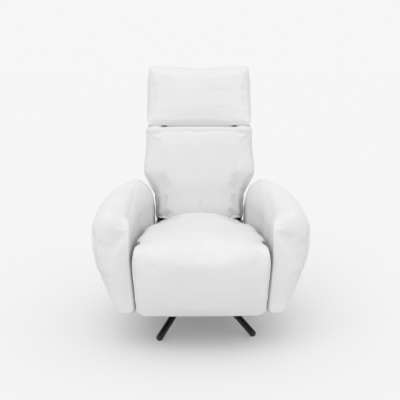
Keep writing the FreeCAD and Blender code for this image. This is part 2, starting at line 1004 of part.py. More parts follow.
def make_upright():
    y0 = frame_front()
    outer = box(crank_inner_x - upright_width, crank_inner_x, y0, y0 + upright_depth, back_bottom + 4.0, upright_top)
    wall = cross_tube_wall
    inner = box(
        crank_inner_x - upright_width + wall,
        crank_inner_x - wall,
        y0 + wall,
        y0 + upright_depth - wall,
        back_bottom + 4.0,
        upright_top,
    )
    return place_back(outer.cut(inner))


def back_cross(x_half, height):
    y0 = frame_front() + 6.0
    return place_back(square_tube(x_half, y0, y0 + cross_side, height, height + cross_side, cross_tube_wall))


def make_back_cross_tubes():
    """The lower tube ends on the uprights and the upper one on the hinge plates inside them."""
    low = back_cross(crank_inner_x - upright_width, back_cross_low)
    high = back_cross(hinge_base_x(), upright_top - cross_side - 6.0)
    return Part.makeCompound([low, high])


def make_back_springs():
    y = frame_front() + 6.0 - wire_diameter / 2 - wire_gap
    middle = (back_spring_count - 1) / 2
    low = back_cross_low + cross_side / 2
    high = upright_top - cross_side / 2 - 6.0
    springs = [
        zigzag_spring(Vec((k - middle) * back_spring_spacing, y, low), Z_AXIS, X_AXIS, high - low)
        for k in range(back_spring_count)
    ]
    return place_back(Part.makeCompound(springs))


def make_back_plate():
    x0, x1 = crank_inner_x, crank_inner_x + back_plate_thickness
    y0 = frame_front()
    arm = plate_from(
        x0,
        x1,
        [
            (-12.0, -8.0),
            (y0 + upright_depth, -12.0),
            (y0 + upright_depth, back_plate_rise),
            (y0, back_plate_rise),
            (y0, 40.0),
            (-12.0, 14.0),
        ],
    )
    arm = place_back(arm.fuse(disc(eye_radius, x0, x1, Vec(0, 0, 0))))
    horn = bar_between(x0, x1, pivot, eye_radius * 0.8, horn_pin, link_eye_radius)
    pin = disc(crank_pin_diameter / 2, rod_bar_x - rod_pin_overhang, x0, horn_pin)
    plate = arm.multiFuse([horn, pin]).removeSplitter()
    return plate.cut(disc(pivot_bolt_diameter / 2 + running_slack, x0, x1, pivot))


def make_fork():
    """The central fork of the back and its pin, which the gas strut pushes on."""
    x0 = strut_eye_half_width + fork_gap
    x1 = x0 + fork_thickness
    tube_low = Vec(0, frame_front() + 6.0, back_cross_low)
    tube_centre = tube_low + Vec(0, cross_side / 2, cross_side / 2)
    centre = place_back(Part.Vertex(tube_centre)).Point
    cheek = bar_between(x0, x1, centre, fork_foot_radius, fork_pin, link_eye_radius)
    tube_room = place_back(
        box(-40, 40, tube_low.y, tube_low.y + cross_side, tube_low.z, tube_low.z + 2 * cross_side)
    )
    cheek = cheek.cut(tube_room)
    pin = disc(crank_pin_diameter / 2, -x1 - 1.0, x1 + 1.0, fork_pin)
    return cheek.multiFuse([mirrored(cheek), pin]).removeSplitter()


def hinge_base_x():
    return crank_inner_x - upright_width - hinge_plate_thickness


def hinge_base_outline(slack):
    """Side outline of the lower half of a headrest hinge, grown by slack."""
    y0 = frame_front() - slack
    y1 = frame_front() + upright_depth + slack
    eye = headrest_hinge
    return [
        (y0, upright_top - hinge_foot_height - slack),
        (y1, upright_top - hinge_foot_height - slack),
        (y1, upright_top + slack),
        (y0 - 6.0 + 2 * slack, eye.z - 41.0 + slack),
        (eye.y + 8.0 + slack, eye.z + 6.0),
        (eye.y - 7.0 - slack, eye.z - 6.0),
        (y0 - 30.0, back_height),
    ]


def make_hinge_bases():
    x0 = hinge_base_x()
    x1 = x0 + hinge_plate_thickness
    plate = plate_from(x0, x1, hinge_base_outline(0)).fuse(disc(hinge_eye_radius, x0, x1, headrest_hinge))
    pin = disc(hinge_pin_diameter / 2, x0 - hinge_plate_thickness - 2.0, x0, headrest_hinge)
    right = place_back(plate.fuse(pin).removeSplitter())
    return Part.makeCompound([right, mirrored(right)])


# Headrest, drawn in the upright frame of the back

def headrest_front(z):
    return -back_front + headrest_slope * (z - back_height)


def headrest_section(x, inset, ear, crown):
    """Profile of the headrest at x, seen from the side: bottom, front, top and rear, with round corners."""
    low = headrest_bottom + inset * 0.3
    high = back_height + headrest_height + ear - inset
    front_low = headrest_front(low) + inset
    front_high = headrest_front(high) + inset
    rear_low = headrest_front(low) + headrest_depth_bottom - inset
    rear_high = headrest_front(high) + headrest_depth_top - inset
    small, large = headrest_low_corner, headrest_top_corner
    bend = 1 - math.sqrt(0.5)

    def at(y, z):
        return Vec(x, y, z)

    slope = (front_high - front_low) / (high - low)
    rear_slope = (rear_high - rear_low) / (high - low)
    front_foot = at(front_low + slope * small, low + small)
    front_head = at(front_high - slope * large, high - large)
    front_middle = (front_foot + front_head) * 0.5 + Vec(0, -crown, 0)
    rear_head = at(rear_high - rear_slope * large, high - large)
    rear_foot = at(rear_low + rear_slope * small, low + small)
    edges = [
        Part.makeLine(at(rear_low - small, low), at(front_low + small, low)),
        arc(at(front_low + small, low), at(front_low + small * bend, low + small * bend), front_foot),
        arc(front_foot, front_middle, front_head),
        arc(front_head, at(front_high + large * bend * 0.9, high - large * bend), at(front_high + large, high)),
        Part.makeLine(at(front_high + large, high), at(rear_high - large, high)),
        arc(at(rear_high - large, high), at(rear_high - large * bend, high - large * bend), rear_head),
        Part.makeLine(rear_head, rear_foot),
        arc(rear_foot, at(rear_low - small * bend, low + small * bend), at(rear_low - small, low)),
    ]
    return Part.Wire(edges)


def headrest_pocket():
    """Slots in the cushion that leave the hinges their swing."""
    eye = headrest_hinge
    room = hinge_eye_radius + slot_slack
    x0 = hinge_base_x() - hinge_plate_thickness - hinge_gap - slot_slack
    x1 = hinge_base_x() + hinge_plate_thickness + slot_slack
    fan = [
        (eye.y - room, eye.z + room),
        (eye.y - room, eye.z - room),
        (eye.y - room + 5.0, back_height),
        (frame_front() + 12.0, back_height),
        (eye.y + room + 16.0, eye.z - room),
        (eye.y + room, eye.z + room),
    ]
    arm_x = x0 - hinge_tab_width
    arm_room = box(
        arm_x, x1, eye.y, headrest_board_front, eye.z - room, headrest_board_low + hinge_tab_height + slot_slack
    )
    right = plate_from(x0, x1, fan).fuse(arm_room)
    return Part.makeCompound([right, mirrored(right)])


def headrest_board_room(slack):
    half = headrest_half_width - headrest_board_side
    high = back_height + headrest_height - headrest_board_top
    return box(
        -half - slack,
        half + slack,
        headrest_board_front - slack,
        headrest_board_front + headrest_board_thickness + slack,
        headrest_board_low - slack,
        high + slack,
    )


def make_headrest_cushion():
    half = headrest_half_width
    wires = []
    for x, left, right in stations_between(-half, half, headrest_side_round, headrest_side_round):
        spread = (x / half) ** 2
        crown = 0.5 + headrest_crown * (1 - spread)
        wires.append(headrest_section(x, headrest_side_pull * (left + right), headrest_ear_rise * spread, crown))
    return place_back(loft(wires).cut(headrest_board_room(rest_gap)).cut(headrest_pocket()))


def make_headrest_board():
    return place_back(headrest_board_room(0))


def make_hinge_tops():
    """Upper halves of the headrest hinges: an eye on the lower half's pin and a tab screwed to the board."""
    x1 = hinge_base_x() - hinge_gap
    x0 = x1 - hinge_plate_thickness
    eye = headrest_hinge
    front = headrest_board_front
    low = headrest_board_low
    arm = plate_from(
        x0,
        x1,
        [
            (eye.y - 6.0, eye.z + 6.0),
            (eye.y + 4.0, eye.z - 8.0),
            (front, low + 2.0),
            (front, low + hinge_tab_height),
            (front - 12.0, low + hinge_tab_height),
        ],
    )
    tab = box(x0 - hinge_tab_width, x1, front - hinge_tab_thickness, front, low + 4.0, low + hinge_tab_height)
    top = arm.multiFuse([disc(hinge_eye_radius, x0, x1, eye), tab]).removeSplitter()
    right = place_back(top.cut(disc(hinge_pin_diameter / 2 + running_slack, x0, x1, eye)))
    return Part.makeCompound([right, mirrored(right)])


# Push rods and gas strut

def make_push_rod():
    """A flat bar from the horn pin of the back to a slot round the crank pin of the footrest."""
    x0, x1 = rod_bar_x, rod_bar_x + rod_bar_thickness
    slot_middle = crank_pin - Z_AXIS * (rod_slot_drop / 2)
    bar = bar_between(x0, x1, horn_pin, rod_bar_height / 2, slot_middle, rod_head_radius)
    bar = bar.cut(disc(crank_pin_diameter / 2 + running_slack, x0, x1, horn_pin))
    return slotted(bar, x0, x1, crank_pin, rod_slot_drop, crank_pin_diameter / 2 + rod_slot_slack)


def strut_at(distance):
    return strut_front + strut_line * distance


def make_strut_bracket():
    x0 = strut_eye_half_width + fork_gap
    x1 = x0 + fork_thickness
    top = cross_tube_top
    y0 = -cross_tube_spread_y - cross_tube_width / 2
    y1 = y0 + cross_tube_width
    cheek = plate_from(
        x0,
        x1,
        [
            (y0, top),
            (y1, top),
            (y1, top + 10.0),
            (strut_front_y + 8.0, strut_front_height + 7.0),
            (strut_front_y - 7.0, strut_front_height - 7.0),
        ],
    )
    cheek = cheek.fuse(disc(strut_eye_radius, x0, x1, strut_front)).removeSplitter()
    cheek = cheek.cut(disc(crank_pin_diameter / 2 + running_slack, x0, x1, strut_front))
    foot = box(-x1 - 8.0, x1 + 8.0, y0, y1, top, top + 3.0)
    return foot.multiFuse([cheek, mirrored(cheek)]).removeSplitter()


def make_strut_pin():
    half = strut_eye_half_width + fork_gap + fork_thickness
    shank = disc(crank_pin_diameter / 2, -half - 1.0, half + 1.0, strut_front)
    heads = [disc(crank_pin_diameter * 0.75, s, s + 3.0, strut_front) for s in (-half - 4.0, half + 1.0)]
    return shank.multiFuse(heads).removeSplitter()


def strut_eye(place, hole):
    x = strut_eye_half_width
    return disc(strut_eye_radius, -x, x, place).cut(disc(hole, -x, x, place))


def make_strut_cylinder():
    gland_start = strut_length - strut_end_wall
    body = rod(strut_radius, strut_at(strut_neck), strut_at(strut_length))
    bore = rod(strut_bore_radius, strut_at(strut_neck + strut_end_wall), strut_at(gland_start))
    gland = rod(strut_rod_radius + running_slack, strut_at(gland_start - 1.0), strut_at(strut_length))
    neck = rod(strut_rod_radius + 1.0, strut_at(strut_eye_radius - 2.0), strut_at(strut_neck))
    hollow = body.cut(bore).cut(gland)
    return hollow.multiFuse([strut_eye(strut_front, crank_pin_diameter / 2 + running_slack), neck]).removeSplitter()


def make_strut_rod():
    """Rod and piston of the strut. Its slotted head goes round the pin of the fork."""
    x = strut_eye_half_width
    middle = fork_pin - Z_AXIS * (strut_slot_drop / 2)
    shaft = rod(strut_rod_radius, strut_at(strut_rod_inner), strut_at(strut_span - strut_eye_radius))
    piston = rod(
        strut_bore_radius - running_slack, strut_at(strut_rod_inner), strut_at(strut_rod_inner + strut_piston_length)
    )
    head = disc(strut_eye_radius + strut_slot_drop / 2, -x, x, middle)
    whole = shaft.multiFuse([piston, head]).removeSplitter()
    return slotted(whole, -x, x, fork_pin, strut_slot_drop, crank_pin_diameter / 2 + strut_slot_slack)


# Arms and rear panel

def arm_inner(y):
    return seat_half_width(y) + crevice


def arm_section(y, top_inset, out_inset, in_inset, low_inset, low_out_inset):
    """Section of the right arm at y: from the bottom outwards, over the round top and down the inner wall."""
    out_wide = blend_value(
        [(arm_front_y, arm_outer_front), (-160.0, arm_outer_widest), (arm_rear_y, arm_outer_rear)], y
    ) - out_inset
    low_out = blend_value([(arm_front_y, arm_bottom_outer_front), (arm_rear_y, arm_bottom_outer_rear)], y)
    low_out -= low_out_inset
    top = blend_value(
        [(arm_front_y, arm_top_front), (arm_peak_y, arm_top_peak), (arm_rear_y, arm_top_rear)], y
    ) - top_inset
    inner = arm_inner(y) + in_inset
    low_share = min(1.0, max(0.0, (y - knee_y) / (seat_mid_y - knee_y)))
    low_in = inner + (arm_inner_bottom_front - arm_inner(arm_front_y)) * (1 - low_share)
    low = arm_bottom + low_inset
    r = arm_corner
    span = top - low
    apex = inner + (out_wide - inner) * 0.48
    wide_z = low + span * 0.76
    inner_z = low + span * 0.72
    points = {
        "low_in": (low_in + r, low),
        "low_out": (low_out - r, low),
        "low_out_side": (low_out + r * 0.35, low + r),
        "waist": (low_out + (out_wide - low_out) * 0.75, low + span * 0.40),
        "wide": (out_wide, wide_z),
        "apex": (apex, top),
        "inner_top": (inner, inner_z),
        "low_in_side": (low_in, low + r),
    }

    def at(name):
        px, pz = points[name]
        return Vec(px, y, pz)

    def bulge(name0, name1, share):
        """A middle point between two named points, pushed out from the chord."""
        (x0, z0), (x1, z1) = points[name0], points[name1]
        push = share * math.hypot(x1 - x0, z1 - z0)
        length = math.hypot(x1 - x0, z1 - z0)
        normal = ((z1 - z0) / length, -(x1 - x0) / length)
        return Vec((x0 + x1) / 2 + normal[0] * push, y, (z0 + z1) / 2 + normal[1] * push)

    edges = [
        Part.makeLine(at("low_in"), at("low_out")),
        arc(at("low_out"), bulge("low_out", "low_out_side", 0.2), at("low_out_side")),
        arc(at("low_out_side"), bulge("low_out_side", "waist", 0.04), at("waist")),
        arc(at("waist"), bulge("waist", "wide", 0.06), at("wide")),
        arc(at("wide"), bulge("wide", "apex", 0.205), at("apex")),
        arc(at("apex"), bulge("apex", "inner_top", 0.19), at("inner_top")),
        arc(at("inner_top"), bulge("inner_top", "low_in_side", 0.006), at("low_in_side")),
        arc(at("low_in_side"), bulge("low_in_side", "low_in", 0.2), at("low_in")),
    ]
    return Part.Wire(edges)


def make_arm():
    wires = []
    for y, front, rear in stations_between(arm_front_y, arm_rear_y, arm_front_round, arm_rear_round):
        wires.append(
            arm_section(
                y,
                arm_front_drop * front + arm_rear_drop * rear,
                arm_front_pull * front + arm_rear_pull * rear,
                arm_front_tuck * front + arm_rear_tuck * rear,
                arm_front_rise * front + arm_rear_rise * rear,
                arm_front_low_pull * front + arm_rear_low_pull * rear,
            )
        )
    board_room = box(
        arm_board_x - rest_gap,
        arm_board_x + arm_board_thickness + head_height + rest_gap,
        arm_board_front_y - rest_gap,
        arm_board_rear_y + rest_gap,
        arm_board_bottom - rest_gap,
        arm_board_top + rest_gap,
    )
    rear_room = box(
        plate_gap_half,
        arm_board_x,
        rear_board_y - rest_gap,
        rear_board_y + rear_board_thickness + rest_gap,
        rear_board_low() - rest_gap,
        rear_board_high() + rest_gap,
    )
    bores = [disc(arm_spacer_radius + rest_gap, plate_gap_half, arm_board_x, p) for p in arm_bolt_places()]
    return loft(wires).cut(Part.makeCompound([board_room])).cut(Part.makeCompound([rear_room] + bores))


def make_arm_board():
    x0, x1 = arm_board_x, arm_board_x + arm_board_thickness
    board = box(x0, x1, arm_board_front_y, arm_board_rear_y, arm_board_bottom, arm_board_top)
    holes = [disc(arm_bolt_diameter / 2 + bolt_hole_slack, x0, x1, p) for p in arm_bolt_places()]
    return board.cut(Part.makeCompound(holes))


def rear_board_low():
    return rear_panel_bottom + rear_board_margin


def rear_board_high():
    return rear_panel_top - rear_board_margin


def make_rear_board():
    return box(
        -arm_board_x,
        arm_board_x,
        rear_board_y,
        rear_board_y + rear_board_thickness,
        rear_board_low(),
        rear_board_high(),
    )


def make_rear_panel():
    front = rear_board_y + rear_board_thickness
    half = arm_inner(seat_rear_y) - rear_panel_side_gap
    wires = []
    for z, low, top in stations_between(rear_panel_bottom, rear_panel_top, rear_panel_round, rear_panel_round):
        wires.append(
            soft_outline(
                Vec(0, 0, z),
                X_AXIS,
                Vec(0, 1, 0),
                half - rear_panel_side * (low + top),
                front,
                rear_panel_rear_y - rear_panel_pull * (low + top),
                2.5,
                10.0,
                6.0,
                1.0,
            )
        )
    return loft(wires)


# Every piece by name

def all_pieces():
    pieces = {
        "hub": make_hub(),
        "leg_end_caps": Part.makeCompound([make_leg_cap(k) for k in range(leg_count)]),
        "spindle": make_spindle(),
        "spindle_fasteners": make_spindle_fasteners(),
        "lower_race": make_lower_race(),
        "bearing_balls": make_balls(),
        "ball_cage": make_cage(),
        "upper_race": make_upper_race(),
        "spindle_bush": make_bush(),
        "swivel_plate": make_swivel_plate(),
        "plate_bolts": make_plate_bolts(),
        "cross_tube_front": make_cross_tube(-1),
        "cross_tube_rear": make_cross_tube(1),
        "seat_tube_front": make_seat_tube_front(),
        "seat_tube_rear": make_seat_tube_rear(),
        "spring_rail": make_spring_rail(),
        "seat_springs": make_seat_springs(),
        "footrest_axle": make_axle(),
        "mechanism_washers": make_mechanism_washers(),
        "frame_bolts": make_frame_bolts(),
        "arm_spacers": make_arm_spacers(),
        "dust_cover": make_dust_cover(),
        "seat_cushion": make_seat_cushion(),
        "footrest_pad": make_footrest_pad(),
        "footrest_board": make_footrest_board(),
        "board_screws": make_board_screws(),
        "back_cushion": make_back_cushion(),
        "back_shell": make_back_shell(),
        "back_cross_tubes": make_back_cross_tubes(),
        "back_springs": make_back_springs(),
        "back_fork": make_fork(),
        "headrest_cushion": make_headrest_cushion(),
        "headrest_board": make_headrest_board(),
        "headrest_hinge_bases": make_hinge_bases(),
        "headrest_hinge_tops": make_hinge_tops(),
        "strut_bracket": make_strut_bracket(),
        "strut_pin": make_strut_pin(),
        "strut_cylinder": make_strut_cylinder(),
        "strut_rod": make_strut_rod(),
        "rear_board": make_rear_board(),
        "rear_panel": make_rear_panel(),
    }
    leg_names = ["leg_front_right", "leg_side_right", "leg_rear", "leg_side_left", "leg_front_left"]
    for number in range(leg_count):
        name = leg_names[number] if leg_count == len(leg_names) else f"leg_{number + 1}"
        pieces[name] = make_leg(number)
    pairs = {
        "mechanism_plate": make_mechanism_plate(),
        "footrest_crank": make_crank(),
        "back_upright": make_upright(),
        "back_plate": make_back_plate(),
        "push_rod": make_push_rod(),
        "arm_pad": make_arm(),
        "arm_board": make_arm_board(),
    }
    for name, shape in pairs.items():
        pieces[name + "_right"] = shape
        pieces[name + "_left"] = mirrored(shape)
    return pieces


os.makedirs("parts", exist_ok=True)
for piece_name, piece_shape in all_pieces().items():
    solids = piece_shape.Solids
    if not solids or not all(s.isValid() for s in solids):
        print("not sound:", piece_name, len(solids))
    piece_shape.exportStep(f"parts/{piece_name}.step")
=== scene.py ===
"""Star base swivel recliner: upholstery, materials, floor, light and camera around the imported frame."""

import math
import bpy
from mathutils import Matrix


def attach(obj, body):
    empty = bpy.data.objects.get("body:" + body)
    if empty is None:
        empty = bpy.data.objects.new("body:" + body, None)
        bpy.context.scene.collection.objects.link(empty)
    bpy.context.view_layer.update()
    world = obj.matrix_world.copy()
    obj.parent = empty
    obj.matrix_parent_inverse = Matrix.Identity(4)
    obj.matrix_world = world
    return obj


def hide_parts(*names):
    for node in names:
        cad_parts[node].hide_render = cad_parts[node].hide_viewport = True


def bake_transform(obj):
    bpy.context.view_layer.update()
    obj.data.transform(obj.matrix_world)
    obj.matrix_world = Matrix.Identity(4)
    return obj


bl_info = {
    "name": "Star Base Swivel Recliner",
    "version": (1, 0, 0),
    "blender": (4, 5, 0),
    "location": "View3D > Sidebar > Recliner",
    "description": "Upholstery and finishes of a star base swivel recliner",
    "category": "Add Mesh",
}

import bmesh
import bpy
import numpy as np
from mathutils import Vector
from mathutils.bvhtree import BVHTree

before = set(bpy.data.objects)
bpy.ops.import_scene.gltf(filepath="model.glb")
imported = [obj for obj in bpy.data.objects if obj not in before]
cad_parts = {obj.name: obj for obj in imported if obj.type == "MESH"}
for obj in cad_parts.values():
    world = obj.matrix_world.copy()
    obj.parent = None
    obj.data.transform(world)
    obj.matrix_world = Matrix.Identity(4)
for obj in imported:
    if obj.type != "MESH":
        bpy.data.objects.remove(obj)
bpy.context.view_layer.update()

# The camera's sensor in millimetres, and the photograph's side and focal length in its own pixels.
SENSOR_WIDTH = 36.0
PHOTO_SIDE = 400
PHOTO_FOCAL = 595.7

# The stage. A lamp has a name, a strength, an angle in degrees and a direction. All lengths below are
# in metres.
FLOOR_RADIUS = 60.0
FLOOR_SEGMENTS = 96
FLOOR_DRIFT = 0.998
WHITE = (1.0, 1.0, 1.0, 1.0)
LAMPS = (
    ("key", 0.75, 60.0, (0.35, 0.55, -1.0)),
    ("fill", 0.35, 80.0, (-0.5, 0.3, -1.0)),
)

# Colours of the finishes that no panel setting holds.
ZINC_DULL, ZINC_BRIGHT = (0.60, 0.60, 0.58, 1.0), (0.72, 0.73, 0.75, 1.0)
BEECH_DARK, BEECH_LIGHT = (0.50, 0.33, 0.18, 1.0), (0.66, 0.48, 0.29, 1.0)
BEECH_BAND, BEECH_FLECK = (0.40, 0.25, 0.13, 1.0), (0.30, 0.18, 0.09, 1.0)
FABRIC_DARK, FABRIC_LIGHT = (0.012, 0.012, 0.013, 1.0), (0.05, 0.05, 0.052, 1.0)
FOOT_COLOR = (0.012, 0.012, 0.013)
BEARING_COLOR = (0.62, 0.60, 0.54)

# Seams and stitches. A ring of a stitch has its place along the stitch, its height and its radius, as
# shares.
STITCH_LENGTH = 0.0046
STITCH_PITCH = 0.0066
STITCH_RADIUS = 0.00042
STITCH_SIDES = 6
STITCH_OFFSET = 0.0042
STITCH_RINGS = ((-0.5, -0.9, 0.5), (-0.3, 0.35, 1.0), (0.3, 0.35, 1.0), (0.5, -0.9, 0.5))
SEAM_PITCH = 0.012
SEAM_ROUNDS = 14
SEAM_DEPTH = 0.0015
SEAM_WIDTH = 0.0034
ARM_SEAM_WIDTH = 0.0045
VALLEY_REACH = 4.0
LIP_PLACE = 2.1
LIP_SHARE = 0.25

# Cloth and smoothing of the covers.
CLOTH_FRAMES = 20
CLOTH_PRESSURE = 4.0
SMOOTH_IN, SMOOTH_OUT = 0.5, 0.52
PIN_FADE_ROUNDS = 8
SWOLLEN_ROUNDS = 3
LAST_ROUNDS = 2
COVER_PLAY = 0.0006

# How each cover is made. voxel is the size of its skin's cells, shrink how far the skin is drawn in
# before it is blown up, cap its furthest travel, slack the cloth's extra length, relax its rounds of
# smoothing, fill its filling.
SEAT_PAD = {"voxel": 0.0065, "shrink": 0.006, "cap": 0.012, "slack": 0.004, "relax": 16, "fill": 0.75}
BACK_PAD = {"voxel": 0.0065, "shrink": 0.008, "cap": 0.014, "slack": 0.004, "relax": 14, "fill": 0.7}
BACK_COVER = {"voxel": 0.007, "shrink": 0.003, "cap": 0.006, "slack": 0.0, "relax": 10, "fill": 0.5}
HEADREST_PAD = {"voxel": 0.006, "shrink": 0.007, "cap": 0.012, "slack": 0.004, "relax": 6, "fill": 0.7}
ARM_PAD = {"voxel": 0.0085, "shrink": 0.005, "cap": 0.012, "slack": 0.0, "relax": 14, "fill": 0.7}
REAR_COVER = {"voxel": 0.006, "shrink": 0.003, "cap": 0.006, "slack": 0.0, "relax": 10, "fill": 0.5}

# The knee roll, where the seat turns into the footrest panel, and the bar that closes the gap under its
# cover.
KNEE_HEIGHT = 0.377
KNEE = Vector((0.0, -0.352, KNEE_HEIGHT))
KNEE_RADIUS = 0.060
KNEE_BAR_COUNT = 48
KNEE_BAR_HALF = 0.260
KNEE_BAR_LOWEST = 0.408
KNEE_BAR_EDGES = (-0.3661, -0.3372)
KNEE_BAR_DEPTH = 0.0035
KNEE_BAR_RISE = 0.004
KNEE_BAR_THICKNESS = 0.016

# The back's pivot and lean.
PIVOT = Vector((0.0, 0.125, 0.385))
LEAN = math.radians(15.0)

# Below, a pair of numbers is where a form sets in and where it is full: X is the distance from the
# middle plane, FRONT the distance towards the front, REAR towards the rear, Z the height over the
# floor, and DEPTH and UP are measured across and along the leaning back. FULLER, DROP and RISE say how
# far the cover leaves its solid.

# Seat cushion.
SEAT_REACH = -0.3535
SEAT_EDGE_DROP, SEAT_EDGE_FRONT, SEAT_EDGE_Z = 0.0055, (0.285, 0.350), (0.405, 0.435)
SEAT_FULLER, SEAT_FULLER_FRONT, SEAT_FULLER_Z = 0.006, (0.20, 0.32), (0.39, 0.41)
SEAT_REAR_RISE, SEAT_REAR_Z, SEAT_REAR_X = 0.015, (0.400, 0.430), (0.110, 0.205)
SEAT_REAR = (-0.150, 0.030)
UNDERSIDE_RISE, UNDERSIDE_FRONT, UNDERSIDE_Z = 0.008, (0.185, 0.235), (0.358, 0.372)
UNDERSIDE_REACH = -0.34
KNEE_ROUNDS = 60
KNEE_SMOOTH_Y, KNEE_SMOOTH_WIDTH, KNEE_SMOOTH_Z = -0.346, 0.034, (0.395, 0.425)
CORNER_Y, CORNER_WIDTH, CORNER_X, CORNER_Z = -0.345, 0.050, (0.195, 0.225), (0.310, 0.41)

# Footrest panel.
PANEL_LOWEST = 0.16
PANEL_SIDE_FULLER, PANEL_SIDE_X, PANEL_SIDE_FRONT = 0.005, (0.235, 0.250), (0.34, 0.375)
PANEL_FACE_FULLER, PANEL_FACE_X, PANEL_FACE_FRONT = 0.004, (0.18, 0.245), (0.395, 0.415)
PANEL_FACE_Z = (0.19, 0.28)
PANEL_REAR, PANEL_REAR_TOP = -0.3975, 0.40
SEAT_UNDER_REAR = -0.384
PANEL_SEAM_HEIGHTS = np.linspace(0.395, 0.190, 14)
PANEL_SEAM_FROM, PANEL_SEAM_TO = (0.47, -0.52), (0.215, -0.385)

# Small folds at the knee's corners: the first one's places, and how far each next one is moved.
FOLD_COUNT, FOLD_AIMS = 3, 5
FOLD_START, FOLD_END, FOLD_STEP = 0.185, 0.235, 0.018
FOLD_FROM_Y, FOLD_FROM_Z, FOLD_FROM_DROP = -0.62, 0.500, 0.020
FOLD_TO_Y, FOLD_TO_Z, FOLD_TO_DROP = -0.37, 0.400, 0.012
KNEE_FOLD = {"depth": 0.0008, "width": 0.0060, "fade": 0.45}

# Back cushion and the cover behind it.
BACK_FACE_FULLER, BACK_FACE_DEPTH, BACK_FACE_X = 0.005, (-0.03, 0.0), (0.14, 0.21)
BACK_FACE_FROM, BACK_FACE_TO = (0.12, 0.20), (0.36, 0.43)
BACK_SIDE_X, BACK_SIDE_DEPTH = (0.170, 0.195), (0.02, 0.05)
BACK_LOW_FULLER, BACK_LOW_FROM, BACK_LOW_TO = 0.005, (0.020, 0.050), (0.13, 0.17)
SHOULDER_FULLER, SHOULDER_UP, SHOULDER_BELOW, SHOULDER_ABOVE = 0.008, 0.225, 0.080, 0.055
BACK_TOP_FULLER, BACK_TOP_UP = 0.007, (0.33, 0.43)
BACK_RISE, BACK_RISE_UP = 0.0030, (0.41, 0.44)
BACK_HELD_DEPTH, BACK_HELD_UP = 0.02, 0.427
PINCH_X, PINCH_HEIGHTS, PINCH_FROM = 0.003, np.linspace(0.050, 0.130, 6), -0.3
PINCH = {"depth": 0.0018, "width": 0.011, "fade": 0.5}
COVER_FULLER, COVER_DEPTH, COVER_HELD_DEPTH = 0.003, (0.066, 0.078), 0.070

# Headrest.
HEADREST_FACE_FULLER, HEADREST_FACE_X, HEADREST_FACE_Z = 0.003, (0.15, 0.21), (0.86, 0.92)
HEADREST_SIDE_FULLER, HEADREST_SIDE_X, HEADREST_FOOT_Z = 0.003, (0.215, 0.232), (0.83, 0.86)
HEADREST_RISE, HEADREST_RISE_Z, HEADREST_DROP = 0.010, (0.93, 1.07), 0.0027
HEADREST_HELD_Z = 0.83
HEADREST_FOLDS = ((-0.02, 0.20, 0.62), (0.0, 0.19, 0.535))
HEADREST_FOLD_AIMS, HEADREST_FOLD_SLOPE, HEADREST_FOLD_DEPTHS = 7, 0.02, (-0.3, 0.1)
HEADREST_FOLD = {"depth": 0.0006, "width": 0.009, "fade": 0.5}

# Seams that run up one side of the back, over its top and down the other side, for back_border.
BORDER_TOP_AIMS = 12
BACK_BORDER = {
    "heights": np.linspace(0.10, 0.425, 16), "half": 0.215,
    "side_from": (0.42, -0.06), "side_to": (0.17, 0.0), "top_from": (-0.07, 0.60), "top_to": (-0.01, 0.400),
}
COVER_BORDER = {
    "heights": np.linspace(0.06, 0.41, 16), "half": 0.2,
    "side_from": (0.40, 0.28), "side_to": (0.185, 0.035), "top_from": (0.28, 0.58), "top_to": (0.035, 0.385),
}
HEADREST_BORDER = {
    "heights": np.linspace(0.475, 0.705, 12), "half": 0.2,
    "side_from": (0.40, -0.05), "side_to": (0.16, 0.03), "top_from": (-0.03, 0.92), "top_to": (0.05, 0.68),
}

# Arms.
ARM_OUTER_FULLER, ARM_OUTER_X, ARM_OUTER_Z = 0.005, (0.33, 0.37), (0.25, 0.33)
ARM_INNER_FULLER, ARM_INNER_X, ARM_INNER_Z = 0.005, (0.235, 0.262), (0.30, 0.34)
ARM_INNER_REAR, ARM_INNER_END = (0.00, 0.07), (0.22, 0.26)
ARM_CLOSER, ARM_CLOSER_FRONT, ARM_CLOSER_X, ARM_CLOSEST = 0.009, (0.315, 0.350), (0.282, 0.300), 0.2745
ARM_HELD_X, ARM_HELD_Z = 0.279, 0.17
ARM_TOP_PLACES, ARM_TOP_FROM, ARM_TOP_TO = np.linspace(0.225, -0.31, 16), (0.75, 0.95), (0.33, 0.40)
ARM_FRONT_HEIGHTS, ARM_FRONT_FROM, ARM_FRONT_TO = np.linspace(0.50, 0.19, 12), (0.74, -0.72), (0.33, -0.27)

# Rear panel.
REAR_FULLER, REAR_Y = 0.002, (0.262, 0.270)


def points_of(mesh):
    """The mesh's points as rows of x, y and z."""
    flat = np.empty(len(mesh.vertices) * 3, np.float32)
    mesh.vertices.foreach_get("co", flat)
    return flat.reshape(-1, 3).astype(float)


def set_points(mesh, points):
    """Moves the mesh's points to the rows given."""
    mesh.vertices.foreach_set("co", points.astype(np.float32).ravel())
    mesh.update()


def normals_of(mesh):
    """The mesh's normals at its points."""
    flat = np.empty(len(mesh.vertices) * 3, np.float32)
    mesh.vertices.foreach_get("normal", flat)
    return flat.reshape(-1, 3).astype(float)


def edges_of(mesh):
    """The numbers of each edge's two points."""
    flat = np.empty(len(mesh.edges) * 2, np.int32)
    mesh.edges.foreach_get("vertices", flat)
    return flat.reshape(-1, 2)


def smooth_share(value, start, end):
    """0 before start, 1 after end, and a smooth step between them."""
    t = np.clip((value - start) / (end - start), 0.0, 1.0)
    return t * t * (3.0 - 2.0 * t)


def fading(value, start, end):
    """1 before start, 0 after end, and a smooth step between them."""
    return 1.0 - smooth_share(value, start, end)


def bell(value, middle, width):
    """1 at the middle, falling away smoothly on both sides."""
    return np.exp(-(((value - middle) / width) ** 2))


